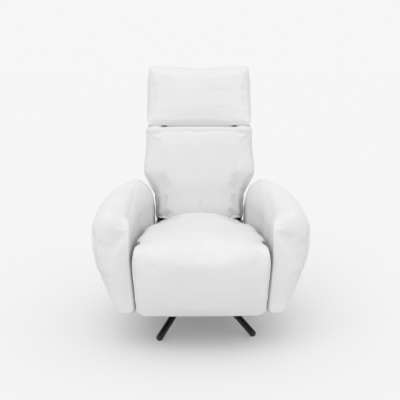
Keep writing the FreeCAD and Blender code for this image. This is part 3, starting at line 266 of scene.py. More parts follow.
def around(points, edges, count):
    """Mean of each point's neighbours."""
    total = np.zeros_like(points)
    first, second = edges[:, 0], edges[:, 1]
    for axis in range(3):
        total[:, axis] = np.bincount(first, points[second, axis], count)
        total[:, axis] += np.bincount(second, points[first, axis], count)
    shared = np.bincount(first, minlength=count) + np.bincount(second, minlength=count)
    return total / np.maximum(shared, 1)[:, None]


def relaxed(points, edges, rounds, mask=1.0, keep=True):
    """Points smoothed over their neighbours; keep holds the volume."""
    mask = np.broadcast_to(np.asarray(mask, float), (len(points),))[:, None]
    for _ in range(rounds):
        points = points + SMOOTH_IN * mask * (around(points, edges, len(points)) - points)
        if keep:
            points = points - SMOOTH_OUT * mask * (around(points, edges, len(points)) - points)
    return points


def new_piece(name, mesh):
    """Puts a mesh into the scene as a piece."""
    piece = bpy.data.objects.new(name, mesh)
    bpy.context.scene.collection.objects.link(piece)
    return piece


def applied(piece):
    """Puts the piece's modifiers into its mesh."""
    bpy.context.view_layer.update()
    graph = bpy.context.evaluated_depsgraph_get()
    mesh = bpy.data.meshes.new_from_object(piece.evaluated_get(graph))
    piece.modifiers.clear()
    old = piece.data
    piece.data = mesh
    bpy.data.meshes.remove(old)
    return mesh


def remeshed(name, nodes, voxel, filler=None):
    """One closed skin around the solids of the named nodes, with any filler mesh joined in."""
    joined = bmesh.new()
    for node in nodes:
        joined.from_mesh(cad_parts[node].data)
    if filler:
        filler(joined, solid_tree(nodes))
    mesh = bpy.data.meshes.new(name)
    joined.to_mesh(mesh)
    joined.free()
    piece = new_piece(name, mesh)
    remesh = piece.modifiers.new("Skin", "REMESH")
    remesh.mode = "VOXEL"
    remesh.voxel_size = voxel
    applied(piece)
    piece.data.materials.clear()
    return piece


def solid_tree(nodes):
    """A search tree over the faces of the named nodes' solids."""
    joined = bmesh.new()
    for node in nodes:
        joined.from_mesh(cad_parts[node].data)
    tree = BVHTree.FromBMesh(joined)
    joined.free()
    return tree


def held_inside(points, tree, allowance):
    """Points that stand out of the solid by more than the allowance are drawn back to it."""
    result = points.copy()
    for number, point in enumerate(points):
        place, normal, _, distance = tree.find_nearest(point)
        away = Vector(point) - place
        if away.dot(normal) > 0.0 and distance > allowance:
            result[number] = place + away.normalized() * allowance
    return result


def inflated(piece, pinned, cap, slack):
    """The piece's points after its skin is blown up as cloth, with no point moved further than cap."""
    start = points_of(piece.data)
    group = piece.vertex_groups.new(name="held")
    group.add([int(n) for n in np.nonzero(pinned)[0]], 1.0, "REPLACE")
    cloth = piece.modifiers.new("Cover", "CLOTH")
    settings = cloth.settings
    settings.quality = 4
    settings.mass = 0.3
    settings.tension_stiffness = 12.0
    settings.compression_stiffness = 12.0
    settings.bending_stiffness = 0.6
    settings.shrink_min = -slack
    settings.use_pressure = True
    settings.uniform_pressure_force = CLOTH_PRESSURE
    settings.effector_weights.gravity = 0.0
    settings.vertex_group_mass = "held"
    cloth.collision_settings.use_collision = False
    cloth.point_cache.frame_start = 1
    cloth.point_cache.frame_end = CLOTH_FRAMES
    scene = bpy.context.scene
    for number in range(1, CLOTH_FRAMES + 1):
        scene.frame_set(number)
    graph = bpy.context.evaluated_depsgraph_get()
    moved = points_of(piece.evaluated_get(graph).data)
    piece.modifiers.clear()
    piece.vertex_groups.clear()
    scene.frame_set(1)
    travel = moved - start
    length = np.linalg.norm(travel, axis=1)
    share = cap * np.tanh(length / cap) / np.maximum(length, 1e-9)
    return start + travel * share[:, None]


def subdivided(piece):
    """Splits the piece's faces once, smoothly, and returns its new mesh."""
    modifier = piece.modifiers.new("Fine", "SUBSURF")
    modifier.levels = 1
    modifier.render_levels = 1
    return applied(piece)


def line_distance(points, line):
    """Distance of each point to a run of line points, and how far along the run it is, from 0 to 1."""
    line = np.asarray(line, float)
    best = np.full(len(points), 1e9)
    along = np.zeros(len(points))
    steps = np.linalg.norm(np.diff(line, axis=0), axis=1)
    total = max(steps.sum(), 1e-9)
    passed = 0.0
    for first, second, step in zip(line[:-1], line[1:], steps):
        run = second - first
        share = np.clip((points - first) @ run / max(step * step, 1e-12), 0.0, 1.0)
        distance = np.linalg.norm(points - first - share[:, None] * run, axis=1)
        nearer = distance < best
        best[nearer] = distance[nearer]
        along[nearer] = (passed + share[nearer] * step) / total
        passed += step
    return best, along


def near_box(points, line, margin):
    """Numbers of the points inside a box round the line."""
    line = np.asarray(line, float)
    inside = (points > line.min(0) - margin) & (points < line.max(0) + margin)
    return np.nonzero(inside.all(1))[0]


def pressed_line(piece, line, depth, width, fade=0.0):
    """Presses a soft valley into the piece along a line, with a low lip on both sides."""
    mesh = piece.data
    points = points_of(mesh)
    chosen = near_box(points, line, width * VALLEY_REACH)
    normals = normals_of(mesh)[chosen]
    distance, along = line_distance(points[chosen], line)
    ends = 1.0
    if fade:
        ends = smooth_share(along, 0.0, fade) * smooth_share(1.0 - along, 0.0, fade)
    valley = bell(distance, 0.0, width)
    lip = LIP_SHARE * bell(distance, LIP_PLACE * width, width)
    points[chosen] -= normals * ((valley - lip) * depth * ends)[:, None]
    set_points(mesh, points)
    # The crease value marks the valley for the leather's painted shade and its duller finish.
    painted_fold_shade = mesh.attributes["crease"]
    value = np.zeros(len(mesh.vertices), np.float32)
    painted_fold_shade.data.foreach_get("value", value)
    value[chosen] = np.maximum(value[chosen], valley * ends * min(1.0, depth / SEAM_DEPTH))
    painted_fold_shade.data.foreach_set("value", value)


def tree_of(piece):
    """A search tree over the piece's faces."""
    made = bmesh.new()
    made.from_mesh(piece.data)
    tree = BVHTree.FromBMesh(made)
    made.free()
    return tree


def even_line(line, pitch):
    """The same run with its points spaced evenly, about a pitch apart."""
    line = np.asarray(line, float)
    steps = np.linalg.norm(np.diff(line, axis=0), axis=1)
    passed = np.concatenate([[0.0], np.cumsum(steps)])
    count = max(2, int(passed[-1] / pitch) + 1)
    places = np.linspace(0.0, passed[-1], count)
    return np.stack([np.interp(places, passed, line[:, axis]) for axis in range(3)], 1)


def surface_line(tree, aims):
    """Points where the aimed rays meet the surface, evened out and laid on it again.

    An aim is the start of a ray and a point that it goes through.
    """
    found = []
    for start, target in aims:
        direction = (Vector(target) - Vector(start)).normalized()
        hit = tree.ray_cast(Vector(start), direction)[0]
        if hit is not None:
            found.append(hit)
    if len(found) < 2:
        raise ValueError("a seam misses its cushion")
    line = even_line(found, SEAM_PITCH)
    for _ in range(SEAM_ROUNDS):
        line[1:-1] = 0.5 * line[1:-1] + 0.25 * (line[:-2] + line[2:])
    return np.array([tree.find_nearest(Vector(point))[0] for point in line])


def stitched(name, piece, line, body):
    """A row of short stitches beside the line, laid on the piece."""
    tree = tree_of(piece)
    line = even_line(line, STITCH_PITCH)
    made = bmesh.new()
    for first, second in zip(line[:-1], line[1:]):
        middle = Vector((first + second) / 2.0)
        run = Vector(second - first).normalized()
        normal = tree.find_nearest(middle)[1]
        beside = normal.cross(run).normalized()
        place, normal, _, _ = tree.find_nearest(middle + beside * STITCH_OFFSET)
        run = (run - normal * run.dot(normal)).normalized()
        beside = normal.cross(run)
        rings = []
        for share, lift, wide in STITCH_RINGS:
            centre = place + run * (share * STITCH_LENGTH) + normal * (lift * STITCH_RADIUS)
            corners = []
            for side in range(STITCH_SIDES):
                angle = math.tau * side / STITCH_SIDES
                reach = beside * math.cos(angle) + normal * math.sin(angle)
                corners.append(made.verts.new(centre + reach * (STITCH_RADIUS * wide)))
            rings.append(corners)
        for low, high in zip(rings[:-1], rings[1:]):
            for side in range(STITCH_SIDES):
                after = (side + 1) % STITCH_SIDES
                made.faces.new((low[side], low[after], high[after], high[side]))
        made.faces.new(list(reversed(rings[0])))
        made.faces.new(rings[-1])
    mesh = bpy.data.meshes.new(name)
    made.to_mesh(mesh)
    made.free()
    mesh.shade_smooth()
    thread = new_piece(name, mesh)
    finish_with(thread, "thread")
    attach(thread, body)


class Wire:
    """A shader socket that adds, subtracts and multiplies like a number."""

    def __init__(self, tree, socket):
        self.tree = tree
        self.socket = socket

    def combined(self, operation, first, second):
        node = self.tree.nodes.new("ShaderNodeMath")
        node.operation = operation
        for number, value in enumerate((first, second)):
            if isinstance(value, Wire):
                self.tree.links.new(value.socket, node.inputs[number])
            else:
                node.inputs[number].default_value = value
        return Wire(self.tree, node.outputs[0])

    def __add__(self, other):
        return self.combined("ADD", self, other)

    def __radd__(self, other):
        return self.combined("ADD", other, self)

    def __sub__(self, other):
        return self.combined("SUBTRACT", self, other)

    def __rsub__(self, other):
        return self.combined("SUBTRACT", other, self)

    def __mul__(self, other):
        return self.combined("MULTIPLY", self, other)

    def __rmul__(self, other):
        return self.combined("MULTIPLY", other, self)


class Finish:
    """One procedural material and the nodes that make it."""

    def __init__(self, name, **constants):
        self.material = bpy.data.materials.new(name)
        self.material.use_nodes = True
        self.tree = self.material.node_tree
        self.shader = self.tree.nodes["Principled BSDF"]
        for socket, value in constants.items():
            self.shader.inputs[socket.replace("_", " ")].default_value = value
        place = self.tree.nodes.new("ShaderNodeTexCoord")
        self.place = Wire(self.tree, place.outputs["Object"])

    def node(self, kind, settings=None, output=0, **sockets):
        """Adds a node, sets its settings, then fills its sockets, and returns one of its outputs.

        A socket is named, with _ for a space, or numbered, as in s6.
        """
        node = self.tree.nodes.new("ShaderNode" + kind)
        for key, value in (settings or {}).items():
            setattr(node, key, value)
        for key, value in sockets.items():
            socket = node.inputs[int(key[1:])] if key[1:].isdigit() else node.inputs[key.replace("_", " ")]
            if isinstance(value, Wire):
                self.tree.links.new(value.socket, socket)
            else:
                socket.default_value = value
        return Wire(self.tree, node.outputs[output])

    def noise(self, scale, detail=2.0, roughness=0.5, place=None):
        """Soft noise, finer with a larger scale."""
        return self.node(
            "TexNoise", Vector=place or self.place, Scale=scale, Detail=detail, Roughness=roughness
        )

    def cells(self, scale, place=None):
        """Distance to the nearest cell's centre."""
        return self.node("TexVoronoi", Vector=place or self.place, Scale=scale)

    def stretched(self, factors):
        """The places with each axis scaled by its factor."""
        return self.node("Mapping", Vector=self.place, Scale=factors)

    def mixed(self, share, first, second):
        """A colour between two colours."""
        return self.node("Mix", {"data_type": "RGBA"}, output=2, s0=share, s6=first, s7=second)

    def within(self, value, low, high):
        """The value stretched so that low gives 0 and high gives 1."""
        return self.node("MapRange", Value=value, From_Min=low, From_Max=high, To_Min=0.0, To_Max=1.0)

    def attribute(self, name):
        """A value that the mesh holds at its points."""
        return self.node("Attribute", {"attribute_name": name}, output="Fac")

    def set(self, socket, value):
        """Links a value to one of the shader's sockets."""
        self.tree.links.new(value.socket, self.shader.inputs[socket])

    def bump(self, height, distance, strength=1.0):
        """Links a height to the shader's normal."""
        made = self.node("Bump", Height=height, Distance=distance, Strength=strength)
        self.set("Normal", made)


def shade(color, factor):
    """The colour made darker or paler."""
    return tuple(min(1.0, part * factor) for part in color[:3]) + (1.0,)


def leather_finish(settings):
    """White leather: a fine pebble grain, soft colour drift, and folds with painted shade, darker and duller.
    """
    finish = Finish("white leather", Specular_IOR_Level=0.42, Sheen_Weight=0.06, Sheen_Roughness=0.5)
    grain = finish.cells(1.0 / settings.grain)
    drift = finish.noise(scale=7.0, detail=3.0)
    wear = finish.noise(scale=38.0, detail=4.0, roughness=0.6)
    fold = finish.attribute("crease")
    light = tuple(settings.color) + (1.0,)
    soft = finish.mixed(finish.within(drift, 0.35, 0.68), shade(light, 0.965), light)
    warm = (light[0] * 0.99, light[1] * 0.975, light[2] * 0.95, 1.0)
    tinted = finish.mixed(finish.within(wear, 0.55, 0.85) * 0.35, soft, warm)
    # Painted shade: folds and seam valleys, marked by the crease value, are mixed towards a darker leather
    # colour.
    finish.set("Base Color", finish.mixed(fold * 0.22, tinted, shade(light, 0.72)))
    finish.set("Roughness", settings.roughness + (drift - 0.5) * 0.12 + fold * 0.15)
    pores = finish.noise(scale=2600.0)
    swell = finish.noise(scale=160.0, detail=3.0)
    height = finish.within(grain, 0.0, 0.9) * 0.8 + pores * 0.25 + swell * 0.6
    finish.bump(height, settings.grain_depth, strength=0.55)
    return finish.material


def thread_finish(settings):
    """Sewing thread in the leather's colour: twisted strands."""
    finish = Finish("thread", Specular_IOR_Level=0.3)
    twist = finish.node("TexWave", {"bands_direction": "DIAGONAL"}, Vector=finish.place, Scale=900.0)
    color = tuple(settings.color)
    finish.set("Base Color", finish.mixed(twist, shade(color, 0.86), shade(color, 0.97)))
    finish.set("Roughness", 0.55 + twist * 0.15)
    finish.bump(twist, 0.0001)
    return finish.material


def powder_coat_finish(name, color, roughness):
    """Powder coated steel: fine orange peel and faint scuffs."""
    finish = Finish(name, Specular_IOR_Level=0.5, Coat_Roughness=0.35)
    peel = finish.noise(scale=700.0)
    scuff = finish.within(finish.noise(scale=26.0, detail=6.0, roughness=0.7), 0.62, 0.80)
    finish.set("Base Color", finish.mixed(scuff * 0.4, tuple(color) + (1.0,), shade(tuple(color), 1.9)))
    finish.set("Roughness", roughness + (peel - 0.5) * 0.16 + scuff * 0.12)
    finish.bump(peel, 0.00012, strength=0.6)
    return finish.material


def steel_finish():
    """Zinc plated steel: bright, with a drifting tint and fine turning lines."""
    finish = Finish("plated steel", Metallic=1.0)
    drift = finish.noise(scale=30.0, detail=4.0)
    lines = finish.noise(scale=220.0, place=finish.stretched((1.0, 1.0, 14.0)))
    finish.set("Base Color", finish.mixed(finish.within(drift, 0.35, 0.7), ZINC_DULL, ZINC_BRIGHT))
    finish.set("Roughness", 0.26 + lines * 0.16 + drift * 0.08)
    finish.bump(lines, 0.00004, strength=0.5)
    return finish.material


def plywood_finish():
    """Beech plywood: glued layers seen as bands, long fibres and small dark flecks."""
    finish = Finish("beech plywood", Specular_IOR_Level=0.35)
    fibre = finish.noise(scale=60.0, detail=5.0, roughness=0.6, place=finish.stretched((1.0, 0.12, 1.0)))
    layers = finish.node("TexWave", {"bands_direction": "X"}, Vector=finish.place, Scale=55.0, Distortion=0.6)
    flecks = finish.within(finish.cells(240.0, place=finish.stretched((1.0, 0.2, 1.0))), 0.0, 0.10)
    wood = finish.mixed(finish.within(fibre, 0.3, 0.7), BEECH_DARK, BEECH_LIGHT)
    banded = finish.mixed(finish.within(layers, 0.6, 1.0) * 0.25, wood, BEECH_BAND)
    finish.set("Base Color", finish.mixed((1.0 - flecks) * 0.5, banded, BEECH_FLECK))
    finish.set("Roughness", 0.55 + fibre * 0.2)
    finish.bump(fibre + layers * 0.2, 0.0003, strength=0.6)
    return finish.material


def plastic_finish(name, color, roughness):
    """Moulded plastic: a fine spark texture."""
    finish = Finish(name, Specular_IOR_Level=0.45)
    spark = finish.noise(scale=1500.0)
    patch = finish.within(finish.noise(scale=40.0, detail=3.0), 0.35, 0.7)
    finish.set("Base Color", finish.mixed(patch * 0.5, color + (1.0,), shade(color, 1.5)))
    finish.set("Roughness", roughness + (spark - 0.5) * 0.2)
    finish.bump(spark, 0.00008, strength=0.6)
    return finish.material


def dust_fabric_finish():
    """Black spun underlining: short crossed fibres pressed flat."""
    finish = Finish("dust fabric", Sheen_Weight=0.15, Specular_IOR_Level=0.15)
    along = finish.noise(scale=420.0, detail=4.0, roughness=0.7, place=finish.stretched((1.0, 0.15, 1.0)))
    across = finish.noise(scale=420.0, detail=4.0, roughness=0.7, place=finish.stretched((0.15, 1.0, 1.0)))
    fibres = along * 0.5 + across * 0.5
    finish.set("Base Color", finish.mixed(finish.within(fibres, 0.35, 0.7), FABRIC_DARK, FABRIC_LIGHT))
    finish.set("Roughness", 0.85 + fibres * 0.1)
    finish.bump(fibres, 0.0003, strength=0.7)
    return finish.material


def finish_with(piece, key):
    """Gives the piece the named finish, made the first time that it is used."""
    settings = bpy.context.scene.recliner_leather
    metal = bpy.context.scene.recliner_frame
    makers = {
        "leather": lambda: leather_finish(settings),
        "thread": lambda: thread_finish(settings),
        "black_steel": lambda: powder_coat_finish("black powder coat", metal.base_color, 0.42),
        "frame_steel": lambda: powder_coat_finish("grey powder coat", metal.frame_color, 0.5),
        "steel": steel_finish,
        "plywood": plywood_finish,
        "foot_plastic": lambda: plastic_finish("foot plastic", FOOT_COLOR, 0.5),
        "bearing_plastic": lambda: plastic_finish("bearing plastic", BEARING_COLOR, 0.4),
        "dust_fabric": dust_fabric_finish,
    }
    if key not in FINISHES:
        FINISHES[key] = makers[key]()
    piece.data.materials.clear()
    piece.data.materials.append(FINISHES[key])


FRAME_FINISHES = {
    "black_steel": (
        "hub", "leg_front_right", "leg_side_right", "leg_rear", "leg_side_left", "leg_front_left",
    ),
    "foot_plastic": (
        "leg_end_caps",
    ),
    "steel": (
        "spindle", "spindle_fasteners", "lower_race", "bearing_balls", "upper_race", "plate_bolts",
        "seat_springs", "footrest_axle", "mechanism_washers", "frame_bolts", "board_screws", "back_springs",
        "headrest_hinge_bases", "headrest_hinge_tops", "strut_pin", "strut_rod", "arm_spacers",
    ),
    "bearing_plastic": (
        "ball_cage", "spindle_bush",
    ),
    "frame_steel": (
        "swivel_plate", "cross_tube_front", "cross_tube_rear", "seat_tube_front", "seat_tube_rear",
        "spring_rail", "mechanism_plate_right", "mechanism_plate_left", "footrest_crank_right",
        "footrest_crank_left", "back_cross_tubes", "back_fork", "back_upright_right", "back_upright_left",
        "back_plate_right", "back_plate_left", "push_rod_right", "push_rod_left", "strut_bracket",
        "strut_cylinder",
    ),
    "dust_fabric": (
        "dust_cover",
    ),
    "plywood": (
        "footrest_board", "arm_board_right", "arm_board_left", "rear_board", "headrest_board",
    ),
}
FINISHES = {}

def cushion(name, nodes, body, free, pinned, voxel, shrink, cap, slack, relax, fill, shape=None, filler=None):
    """Makes a padded piece in the space of its solids. With no body it is left unattached.

    free gives, for points, how far the cover may stand out of the solid. pinned says which points
    don't swell.
    """
    piece = remeshed(name, nodes, voxel, filler)
    mesh = piece.data
    edges = edges_of(mesh)
    home = relaxed(points_of(mesh), edges, relax)
    home = held_inside(home, solid_tree(nodes), 0.0)
    set_points(mesh, home)
    home = home + normals_of(mesh) * free(home)[:, None]
    if shape:
        home = shape(home, edges)
    set_points(mesh, home)
    swollen = home
    held = pinned(home)
    loose = np.repeat((~held).astype(float)[:, None], 3, 1)
    loose = relaxed(loose, edges, PIN_FADE_ROUNDS, keep=False)[:, 0]
    set_points(mesh, home - normals_of(mesh) * (shrink * loose)[:, None])
    swollen = inflated(piece, held, cap, slack)
    set_points(mesh, home)
    swollen = held_inside(relaxed(swollen, edges, SWOLLEN_ROUNDS), tree_of(piece), COVER_PLAY)
    set_points(mesh, relaxed(swollen, edges, LAST_ROUNDS))
    mesh = subdivided(piece)
    mesh.shade_smooth()
    # The crease value is filled in by the seams and folds; the leather paints shade where it is high.
    mesh.attributes.new("crease", "FLOAT", "POINT")
    finish_with(piece, "leather")
    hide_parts(*nodes)
    if body:
        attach(piece, body)
    return piece


def knee_filler(joined, tree):
    """A bar just under the cover that closes the gap between the seat and the knee roll."""
    rings = []
    for number in range(KNEE_BAR_COUNT + 1):
        x = KNEE_BAR_HALF * (2.0 * number / KNEE_BAR_COUNT - 1.0)
        tops = []
        for y in KNEE_BAR_EDGES:
            hit = tree.ray_cast(Vector((x, y, 1.0)), Vector((0.0, 0.0, -1.0)))[0]
            tops.append(max(KNEE_BAR_LOWEST, hit.z - KNEE_BAR_DEPTH) if hit else KNEE_BAR_LOWEST)
        corners = [(KNEE_BAR_EDGES[0], tops[0]), (KNEE_BAR_EDGES[1], min(tops[1], tops[0] + KNEE_BAR_RISE))]
        corners += [(y, z - KNEE_BAR_THICKNESS) for y, z in reversed(corners)]
        rings.append([joined.verts.new((x, y, z)) for y, z in corners])
    for first, second in zip(rings[:-1], rings[1:]):
        for side in range(4):
            after = (side + 1) % 4
            joined.faces.new((first[side], first[after], second[after], second[side]))
    joined.faces.new(list(reversed(rings[0])))
    joined.faces.new(rings[-1])


def seat_shape(points, edges):
    """Brings the seat's front edge down to the knee roll, for one cover over both, and lifts its rear."""
    x, y, z = points.T
    seat = y > SEAT_REACH
    front = smooth_share(-y, *SEAT_EDGE_FRONT) * smooth_share(z, *SEAT_EDGE_Z) * seat
    wider = np.sign(x) * smooth_share(-y, *SEAT_FULLER_FRONT) * seat * smooth_share(z, *SEAT_FULLER_Z)
    knee = bell(y, KNEE_SMOOTH_Y, KNEE_SMOOTH_WIDTH) * smooth_share(z, *KNEE_SMOOTH_Z)
    corner = bell(y, CORNER_Y, CORNER_WIDTH) * smooth_share(np.abs(x), *CORNER_X) * smooth_share(z, *CORNER_Z)
    points = points.copy()
    points[:, 2] -= SEAT_EDGE_DROP * front
    points[:, 0] += SEAT_FULLER * wider
    points = relaxed(points, edges, KNEE_ROUNDS, mask=np.maximum(knee, corner), keep=False)
    x, y, z = points.T
    rear = smooth_share(y, *SEAT_REAR) * smooth_share(z, *SEAT_REAR_Z) * fading(np.abs(x), *SEAT_REAR_X)
    points[:, 2] += SEAT_REAR_RISE * rear
    under = smooth_share(-y, *UNDERSIDE_FRONT) * fading(z, *UNDERSIDE_Z) * (y > UNDERSIDE_REACH)
    points[:, 2] += UNDERSIDE_RISE * under
    return points


def back_local(points):
    """How far points lie behind the back's middle plane, and how high they are along it."""
    y, z = points[:, 1] - PIVOT.y, points[:, 2] - PIVOT.z
    return y * math.cos(LEAN) - z * math.sin(LEAN), y * math.sin(LEAN) + z * math.cos(LEAN)


def back_place(x, depth, height):
    """The point at x, behind the back's middle plane by depth, at a height along it."""
    y = PIVOT.y + depth * math.cos(LEAN) + height * math.sin(LEAN)
    return Vector((x, y, PIVOT.z - depth * math.sin(LEAN) + height * math.cos(LEAN)))


def back_border(heights, half, side_from, side_to, top_from, top_to):
    """Aims of a seam up one side of the back, over its top and down the other side.

    A side's rays start and end at an x and a depth, and the top's at a depth and a height.
    """
    def side(sign, height):
        start = back_place(sign * side_from[0], side_from[1], height)
        return start, back_place(sign * side_to[0], side_to[1], height)

    top = []
    for x in np.linspace(-half, half, BORDER_TOP_AIMS):
        top.append((back_place(x, *top_from), back_place(x, *top_to)))
    return [side(-1.0, h) for h in heights] + top + [side(1.0, h) for h in reversed(heights)]


def fold(piece, aims, press):
    """Presses a fold without stitches along the aimed line."""
    pressed_line(piece, surface_line(tree_of(piece), aims), **press)


def seam(name, piece, aims, body, width=SEAM_WIDTH):
    """A sewn seam: a pressed valley along the aimed line and a row of stitches beside it."""
    line = surface_line(tree_of(piece), aims)
    pressed_line(piece, line, SEAM_DEPTH, width)
    stitched(name, piece, line, body)


class RECLINER_PG_leather(bpy.types.PropertyGroup):
    color: bpy.props.FloatVectorProperty(
        name="Leather colour", description="Colour of the upholstery",
        subtype="COLOR", size=3, min=0.0, max=1.0,
        default=(0.715, 0.715, 0.718),
    )
    roughness: bpy.props.FloatProperty(
        name="Roughness", description="How dull the leather is",
        default=0.46, min=0.05, max=1.0, subtype="FACTOR"
    )
    grain: bpy.props.FloatProperty(
        name="Grain", description="Width of one pebble of the grain", default=0.0019, min=0.0005, max=0.01,
        unit="LENGTH",
    )
    grain_depth: bpy.props.FloatProperty(
        name="Grain depth", description="Height of the grain",
        default=0.00035, min=0.0, max=0.002, unit="LENGTH"
    )


class RECLINER_PG_frame(bpy.types.PropertyGroup):
    base_color: bpy.props.FloatVectorProperty(
        name="Base colour", description="Colour of the star base",
        subtype="COLOR", size=3, min=0.0, max=1.0,
        default=(0.008, 0.008, 0.009),
    )
    frame_color: bpy.props.FloatVectorProperty(
        name="Mechanism colour", description="Colour of the mechanism's plates and tubes",
        subtype="COLOR", size=3,
        min=0.0, max=1.0, default=(0.035, 0.036, 0.038),
    )


class RECLINER_PG_stage(bpy.types.PropertyGroup):
    camera_place: bpy.props.FloatVectorProperty(
        name="Camera", description="Place of the camera", subtype="TRANSLATION", unit="LENGTH", size=3,
        default=(-0.0372, -2.554, 1.1123),
    )
    camera_target: bpy.props.FloatVectorProperty(
        name="Target", description="Point that the camera looks at",
        subtype="TRANSLATION", unit="LENGTH", size=3,
        default=(0.0, -0.02, 0.533),
    )
    backdrop: bpy.props.FloatProperty(
        name="Backdrop", description="Brightness of the studio round the chair",
        default=0.92, min=0.0, max=2.0
    )
    floor_color: bpy.props.FloatProperty(
        name="Floor", description="How pale the floor is", default=0.62, min=0.0, max=1.0, subtype="FACTOR"
    )
    floor_glow: bpy.props.FloatProperty(
        name="Floor glow", description="How much the floor lifts its own shadows",
        default=0.165, min=0.0, max=1.0
    )


class RECLINER_OT_stage(bpy.types.Operator):
    """Camera at the photographed angle, pale floor and soft studio light"""

    bl_idname = "recliner.stage"
    bl_label = "Stage"

    def execute(self, context):
        scene = context.scene
        settings = scene.recliner_stage
        data = bpy.data.cameras.new("Camera")
        data.sensor_width = SENSOR_WIDTH
        data.lens = PHOTO_FOCAL / PHOTO_SIDE * SENSOR_WIDTH
        camera = bpy.data.objects.new("Camera", data)
        camera.location = settings.camera_place
        look = Vector(settings.camera_target) - camera.location
        camera.rotation_euler = look.to_track_quat("-Z", "Y").to_euler()
        scene.collection.objects.link(camera)
        scene.camera = camera
        made = bmesh.new()
        bmesh.ops.create_circle(made, cap_ends=True, segments=FLOOR_SEGMENTS, radius=FLOOR_RADIUS)
        mesh = bpy.data.meshes.new("floor")
        made.to_mesh(mesh)
        made.free()
        floor = new_piece("floor", mesh)
        finish = Finish(
            "floor", Roughness=0.9, Specular_IOR_Level=0.0, Emission_Color=WHITE,
            Emission_Strength=settings.floor_glow,
        )
        pale = (settings.floor_color,) * 3
        tone = finish.mixed(finish.noise(scale=3.0), shade(pale, FLOOR_DRIFT), pale + (1.0,))
        finish.set("Base Color", tone)
        mesh.materials.append(finish.material)
        world = bpy.data.worlds.new("studio")
        world.use_nodes = True
        light = world.node_tree.nodes["Background"]
        light.inputs["Color"].default_value = (settings.backdrop,) * 3 + (1.0,)
        scene.world = world
        for name, strength, angle, direction in LAMPS:
            sun = bpy.data.lights.new(name, "SUN")
            sun.energy = strength
            sun.angle = math.radians(angle)
            lamp = bpy.data.objects.new(name, sun)
            lamp.rotation_euler = Vector(direction).to_track_quat("-Z", "Y").to_euler()
            scene.collection.objects.link(lamp)
        scene.view_settings.view_transform = "Standard"
        return {"FINISHED"}


class RECLINER_OT_frame(bpy.types.Operator):
    """Finishes of the base, swivel, mechanism, boards and fasteners"""

    bl_idname = "recliner.frame"
    bl_label = "Frame finishes"

    def execute(self, context):
        for key, nodes in FRAME_FINISHES.items():
            for node in nodes:
                finish_with(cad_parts[node], key)
        return {"FINISHED"}


class RECLINER_OT_seat(bpy.types.Operator):
    """Seat cushion and footrest panel under one waterfall cover"""

    bl_idname = "recliner.seat"
    bl_label = "Seat and footrest"

    def execute(self, context):
        def free(points):
            x, y, z = points.T
            wide = np.abs(x)
            side = PANEL_SIDE_FULLER * smooth_share(wide, *PANEL_SIDE_X) * smooth_share(-y, *PANEL_SIDE_FRONT)
            face = smooth_share(-y, *PANEL_FACE_FRONT) * fading(wide, *PANEL_FACE_X)
            face = PANEL_FACE_FULLER * face * smooth_share(z, *PANEL_FACE_Z)
            return np.maximum(side * (z > PANEL_LOWEST), face)

        def pinned(points):
            x, y, z = points.T
            inner = (z < PANEL_REAR_TOP) & (y > SEAT_UNDER_REAR)
            roll = np.hypot(y - KNEE.y, z - KNEE.z) < KNEE_RADIUS
            return inner | roll | ((y > PANEL_REAR) & (z < KNEE_HEIGHT))

        piece = cushion(
            "seat_and_footrest", ("seat_cushion", "footrest_pad"), None, free, pinned,
            shape=seat_shape, filler=knee_filler, **SEAT_PAD,
        )
        for side, name in ((-1.0, "left"), (1.0, "right")):
            aims = []
            for z in PANEL_SEAM_HEIGHTS:
                start, target = PANEL_SEAM_FROM, PANEL_SEAM_TO
                aims.append(((side * start[0], start[1], z), (side * target[0], target[1], z)))
            seam("footrest_stitching_" + name, piece, aims, "footrest")
            for row in range(FOLD_COUNT):
                aims = []
                for x in np.linspace(FOLD_START + FOLD_STEP * row, FOLD_END + FOLD_STEP * row, FOLD_AIMS):
                    start = (side * x, FOLD_FROM_Y, FOLD_FROM_Z - FOLD_FROM_DROP * row)
                    aims.append((start, (side * x, FOLD_TO_Y, FOLD_TO_Z - FOLD_TO_DROP * row)))
                fold(piece, aims, KNEE_FOLD)
        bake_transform(piece)
        return {"FINISHED"}


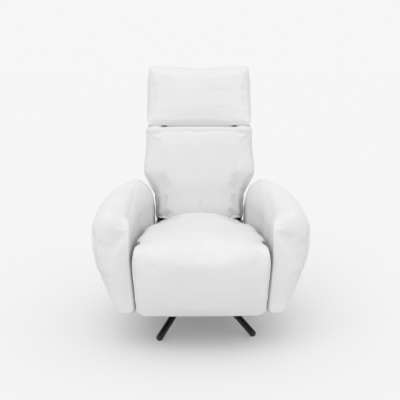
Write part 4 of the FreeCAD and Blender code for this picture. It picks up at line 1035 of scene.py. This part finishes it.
class RECLINER_OT_back(bpy.types.Operator):
    """Back cushion and the padded cover behind it"""

    bl_idname = "recliner.back"
    bl_label = "Back"

    def execute(self, context):
        def free(points):
            depth, height = back_local(points)
            wide = np.abs(points[:, 0])
            face = fading(depth, *BACK_FACE_DEPTH) * fading(wide, *BACK_FACE_X)
            face *= smooth_share(height, *BACK_FACE_FROM) * fading(height, *BACK_FACE_TO)
            side = smooth_share(wide, *BACK_SIDE_X) * fading(depth, *BACK_SIDE_DEPTH)
            low = BACK_LOW_FULLER * smooth_share(height, *BACK_LOW_FROM) * fading(height, *BACK_LOW_TO)
            below = height < SHOULDER_UP
            shoulder = bell(height, SHOULDER_UP, np.where(below, SHOULDER_BELOW, SHOULDER_ABOVE))
            top = BACK_TOP_FULLER * smooth_share(height, *BACK_TOP_UP)
            sides = np.maximum(low, np.maximum(SHOULDER_FULLER * shoulder, top))
            return np.maximum(BACK_FACE_FULLER * face, side * sides)

        def shape(points, edges):
            rise = BACK_RISE * smooth_share(back_local(points)[1], *BACK_RISE_UP)
            return points + rise[:, None] * np.array([0.0, math.sin(LEAN), math.cos(LEAN)])

        def pinned(points):
            depth, height = back_local(points)
            return (depth > BACK_HELD_DEPTH) | (height > BACK_HELD_UP)

        piece = cushion("back_pad", ("back_cushion",), "back", free, pinned, shape=shape, **BACK_PAD)
        seam("back_stitching", piece, back_border(**BACK_BORDER), "back")
        aims = [(back_place(PINCH_X, PINCH_FROM, h), back_place(PINCH_X, 0.0, h)) for h in PINCH_HEIGHTS]
        fold(piece, aims, PINCH)
        cover = cushion(
            "back_cover", ("back_shell",), "back",
            lambda points: COVER_FULLER * smooth_share(back_local(points)[0], *COVER_DEPTH),
            lambda points: back_local(points)[0] < COVER_HELD_DEPTH, **BACK_COVER,
        )
        seam("cover_stitching", cover, back_border(**COVER_BORDER), "back")
        return {"FINISHED"}


class RECLINER_OT_headrest(bpy.types.Operator):
    """Tilting headrest cushion"""

    bl_idname = "recliner.headrest"
    bl_label = "Headrest"

    def execute(self, context):
        def free(points):
            x, y, z = points.T
            wide = np.abs(x)
            face = fading(wide, *HEADREST_FACE_X) * smooth_share(z, *HEADREST_FACE_Z)
            side = smooth_share(wide, *HEADREST_SIDE_X) * smooth_share(z, *HEADREST_FOOT_Z)
            return np.maximum(HEADREST_FACE_FULLER * face, HEADREST_SIDE_FULLER * side)

        def shape(points, edges):
            points = points.copy()
            points[:, 2] += HEADREST_RISE * smooth_share(points[:, 2], *HEADREST_RISE_Z)
            points[:, 2] -= HEADREST_DROP * fading(points[:, 2], *HEADREST_FOOT_Z)
            return points

        piece = cushion(
            "headrest", ("headrest_cushion",), "headrest", free,
            lambda points: points[:, 2] < HEADREST_HELD_Z, shape=shape, **HEADREST_PAD,
        )
        seam("headrest_stitching", piece, back_border(**HEADREST_BORDER), "headrest")
        before, behind = HEADREST_FOLD_DEPTHS
        for start, end, height in HEADREST_FOLDS:
            aims = []
            for x in np.linspace(start, end, HEADREST_FOLD_AIMS):
                target = back_place(x, behind, height + HEADREST_FOLD_SLOPE * x)
                aims.append((back_place(x, before, height), target))
            fold(piece, aims, HEADREST_FOLD)
        return {"FINISHED"}


class RECLINER_OT_arms(bpy.types.Operator):
    """Both padded arms"""

    bl_idname = "recliner.arms"
    bl_label = "Arms"

    def execute(self, context):
        def free(points):
            x, y, z = points.T
            wide = np.abs(x)
            outer = ARM_OUTER_FULLER * smooth_share(wide, *ARM_OUTER_X) * smooth_share(z, *ARM_OUTER_Z)
            inner = ARM_INNER_FULLER * fading(wide, *ARM_INNER_X) * smooth_share(y, *ARM_INNER_REAR)
            inner *= smooth_share(z, *ARM_INNER_Z) * fading(y, *ARM_INNER_END)
            return np.maximum(outer, inner)

        def shape(points, edges):
            x, y, z = points.T
            wide = np.abs(x)
            share = smooth_share(-y, *ARM_CLOSER_FRONT) * fading(wide, *ARM_CLOSER_X)
            closer = np.maximum(wide - ARM_CLOSER * share, np.minimum(wide, ARM_CLOSEST))
            return np.stack([np.sign(x) * closer, y, z], 1)

        def pinned(points):
            return (np.abs(points[:, 0]) < ARM_HELD_X) | (points[:, 2] < ARM_HELD_Z)

        for side, name in ((1.0, "right"), (-1.0, "left")):
            piece = cushion(
                "arm_" + name, ("arm_pad_" + name,), "chassis", free, pinned, shape=shape, **ARM_PAD
            )
            aims = []
            for y in ARM_TOP_PLACES:
                start, target = ARM_TOP_FROM, ARM_TOP_TO
                aims.append(((side * start[0], y, start[1]), (side * target[0], y, target[1])))
            for z in ARM_FRONT_HEIGHTS:
                start, target = ARM_FRONT_FROM, ARM_FRONT_TO
                aims.append(((side * start[0], start[1], z), (side * target[0], target[1], z)))
            seam("arm_stitching_" + name, piece, aims, "chassis", width=ARM_SEAM_WIDTH)
        return {"FINISHED"}


class RECLINER_OT_rear(bpy.types.Operator):
    """Padded panel behind the seat"""

    bl_idname = "recliner.rear"
    bl_label = "Rear panel"

    def execute(self, context):
        cushion(
            "rear_cover", ("rear_panel",), "chassis",
            lambda points: REAR_FULLER * smooth_share(points[:, 1], *REAR_Y),
            lambda points: points[:, 1] < REAR_Y[0], **REAR_COVER,
        )
        return {"FINISHED"}


STEPS = (
    RECLINER_OT_stage,
    RECLINER_OT_frame,
    RECLINER_OT_seat,
    RECLINER_OT_back,
    RECLINER_OT_headrest,
    RECLINER_OT_arms,
    RECLINER_OT_rear,
)
GROUPS = (
    ("recliner_leather", RECLINER_PG_leather),
    ("recliner_frame", RECLINER_PG_frame),
    ("recliner_stage", RECLINER_PG_stage),
)


class RECLINER_PT_panel(bpy.types.Panel):
    """Steps that dress the recliner"""

    bl_idname = "RECLINER_PT_panel"
    bl_label = "Recliner"
    bl_space_type = "VIEW_3D"
    bl_region_type = "UI"
    bl_category = "Recliner"

    def draw(self, context):
        for name, group in GROUPS:
            for key in group.__annotations__:
                self.layout.prop(getattr(context.scene, name), key)
        for step in STEPS:
            self.layout.operator(step.bl_idname)


def register():
    """Registers the settings, the steps and the panel."""
    for name, group in GROUPS:
        bpy.utils.register_class(group)
        setattr(bpy.types.Scene, name, bpy.props.PointerProperty(type=group))
    for step in STEPS:
        bpy.utils.register_class(step)
    bpy.utils.register_class(RECLINER_PT_panel)


def unregister():
    """Takes away what register added."""
    bpy.utils.unregister_class(RECLINER_PT_panel)
    for step in reversed(STEPS):
        bpy.utils.unregister_class(step)
    for name, group in reversed(GROUPS):
        delattr(bpy.types.Scene, name)
        bpy.utils.unregister_class(group)


def main():
    """Dresses the recliner."""
    register()
    bpy.ops.recliner.stage()
    bpy.ops.recliner.frame()
    bpy.ops.recliner.seat()
    bpy.ops.recliner.back()
    bpy.ops.recliner.headrest()
    bpy.ops.recliner.arms()
    bpy.ops.recliner.rear()


if __name__ == "__main__":
    main()
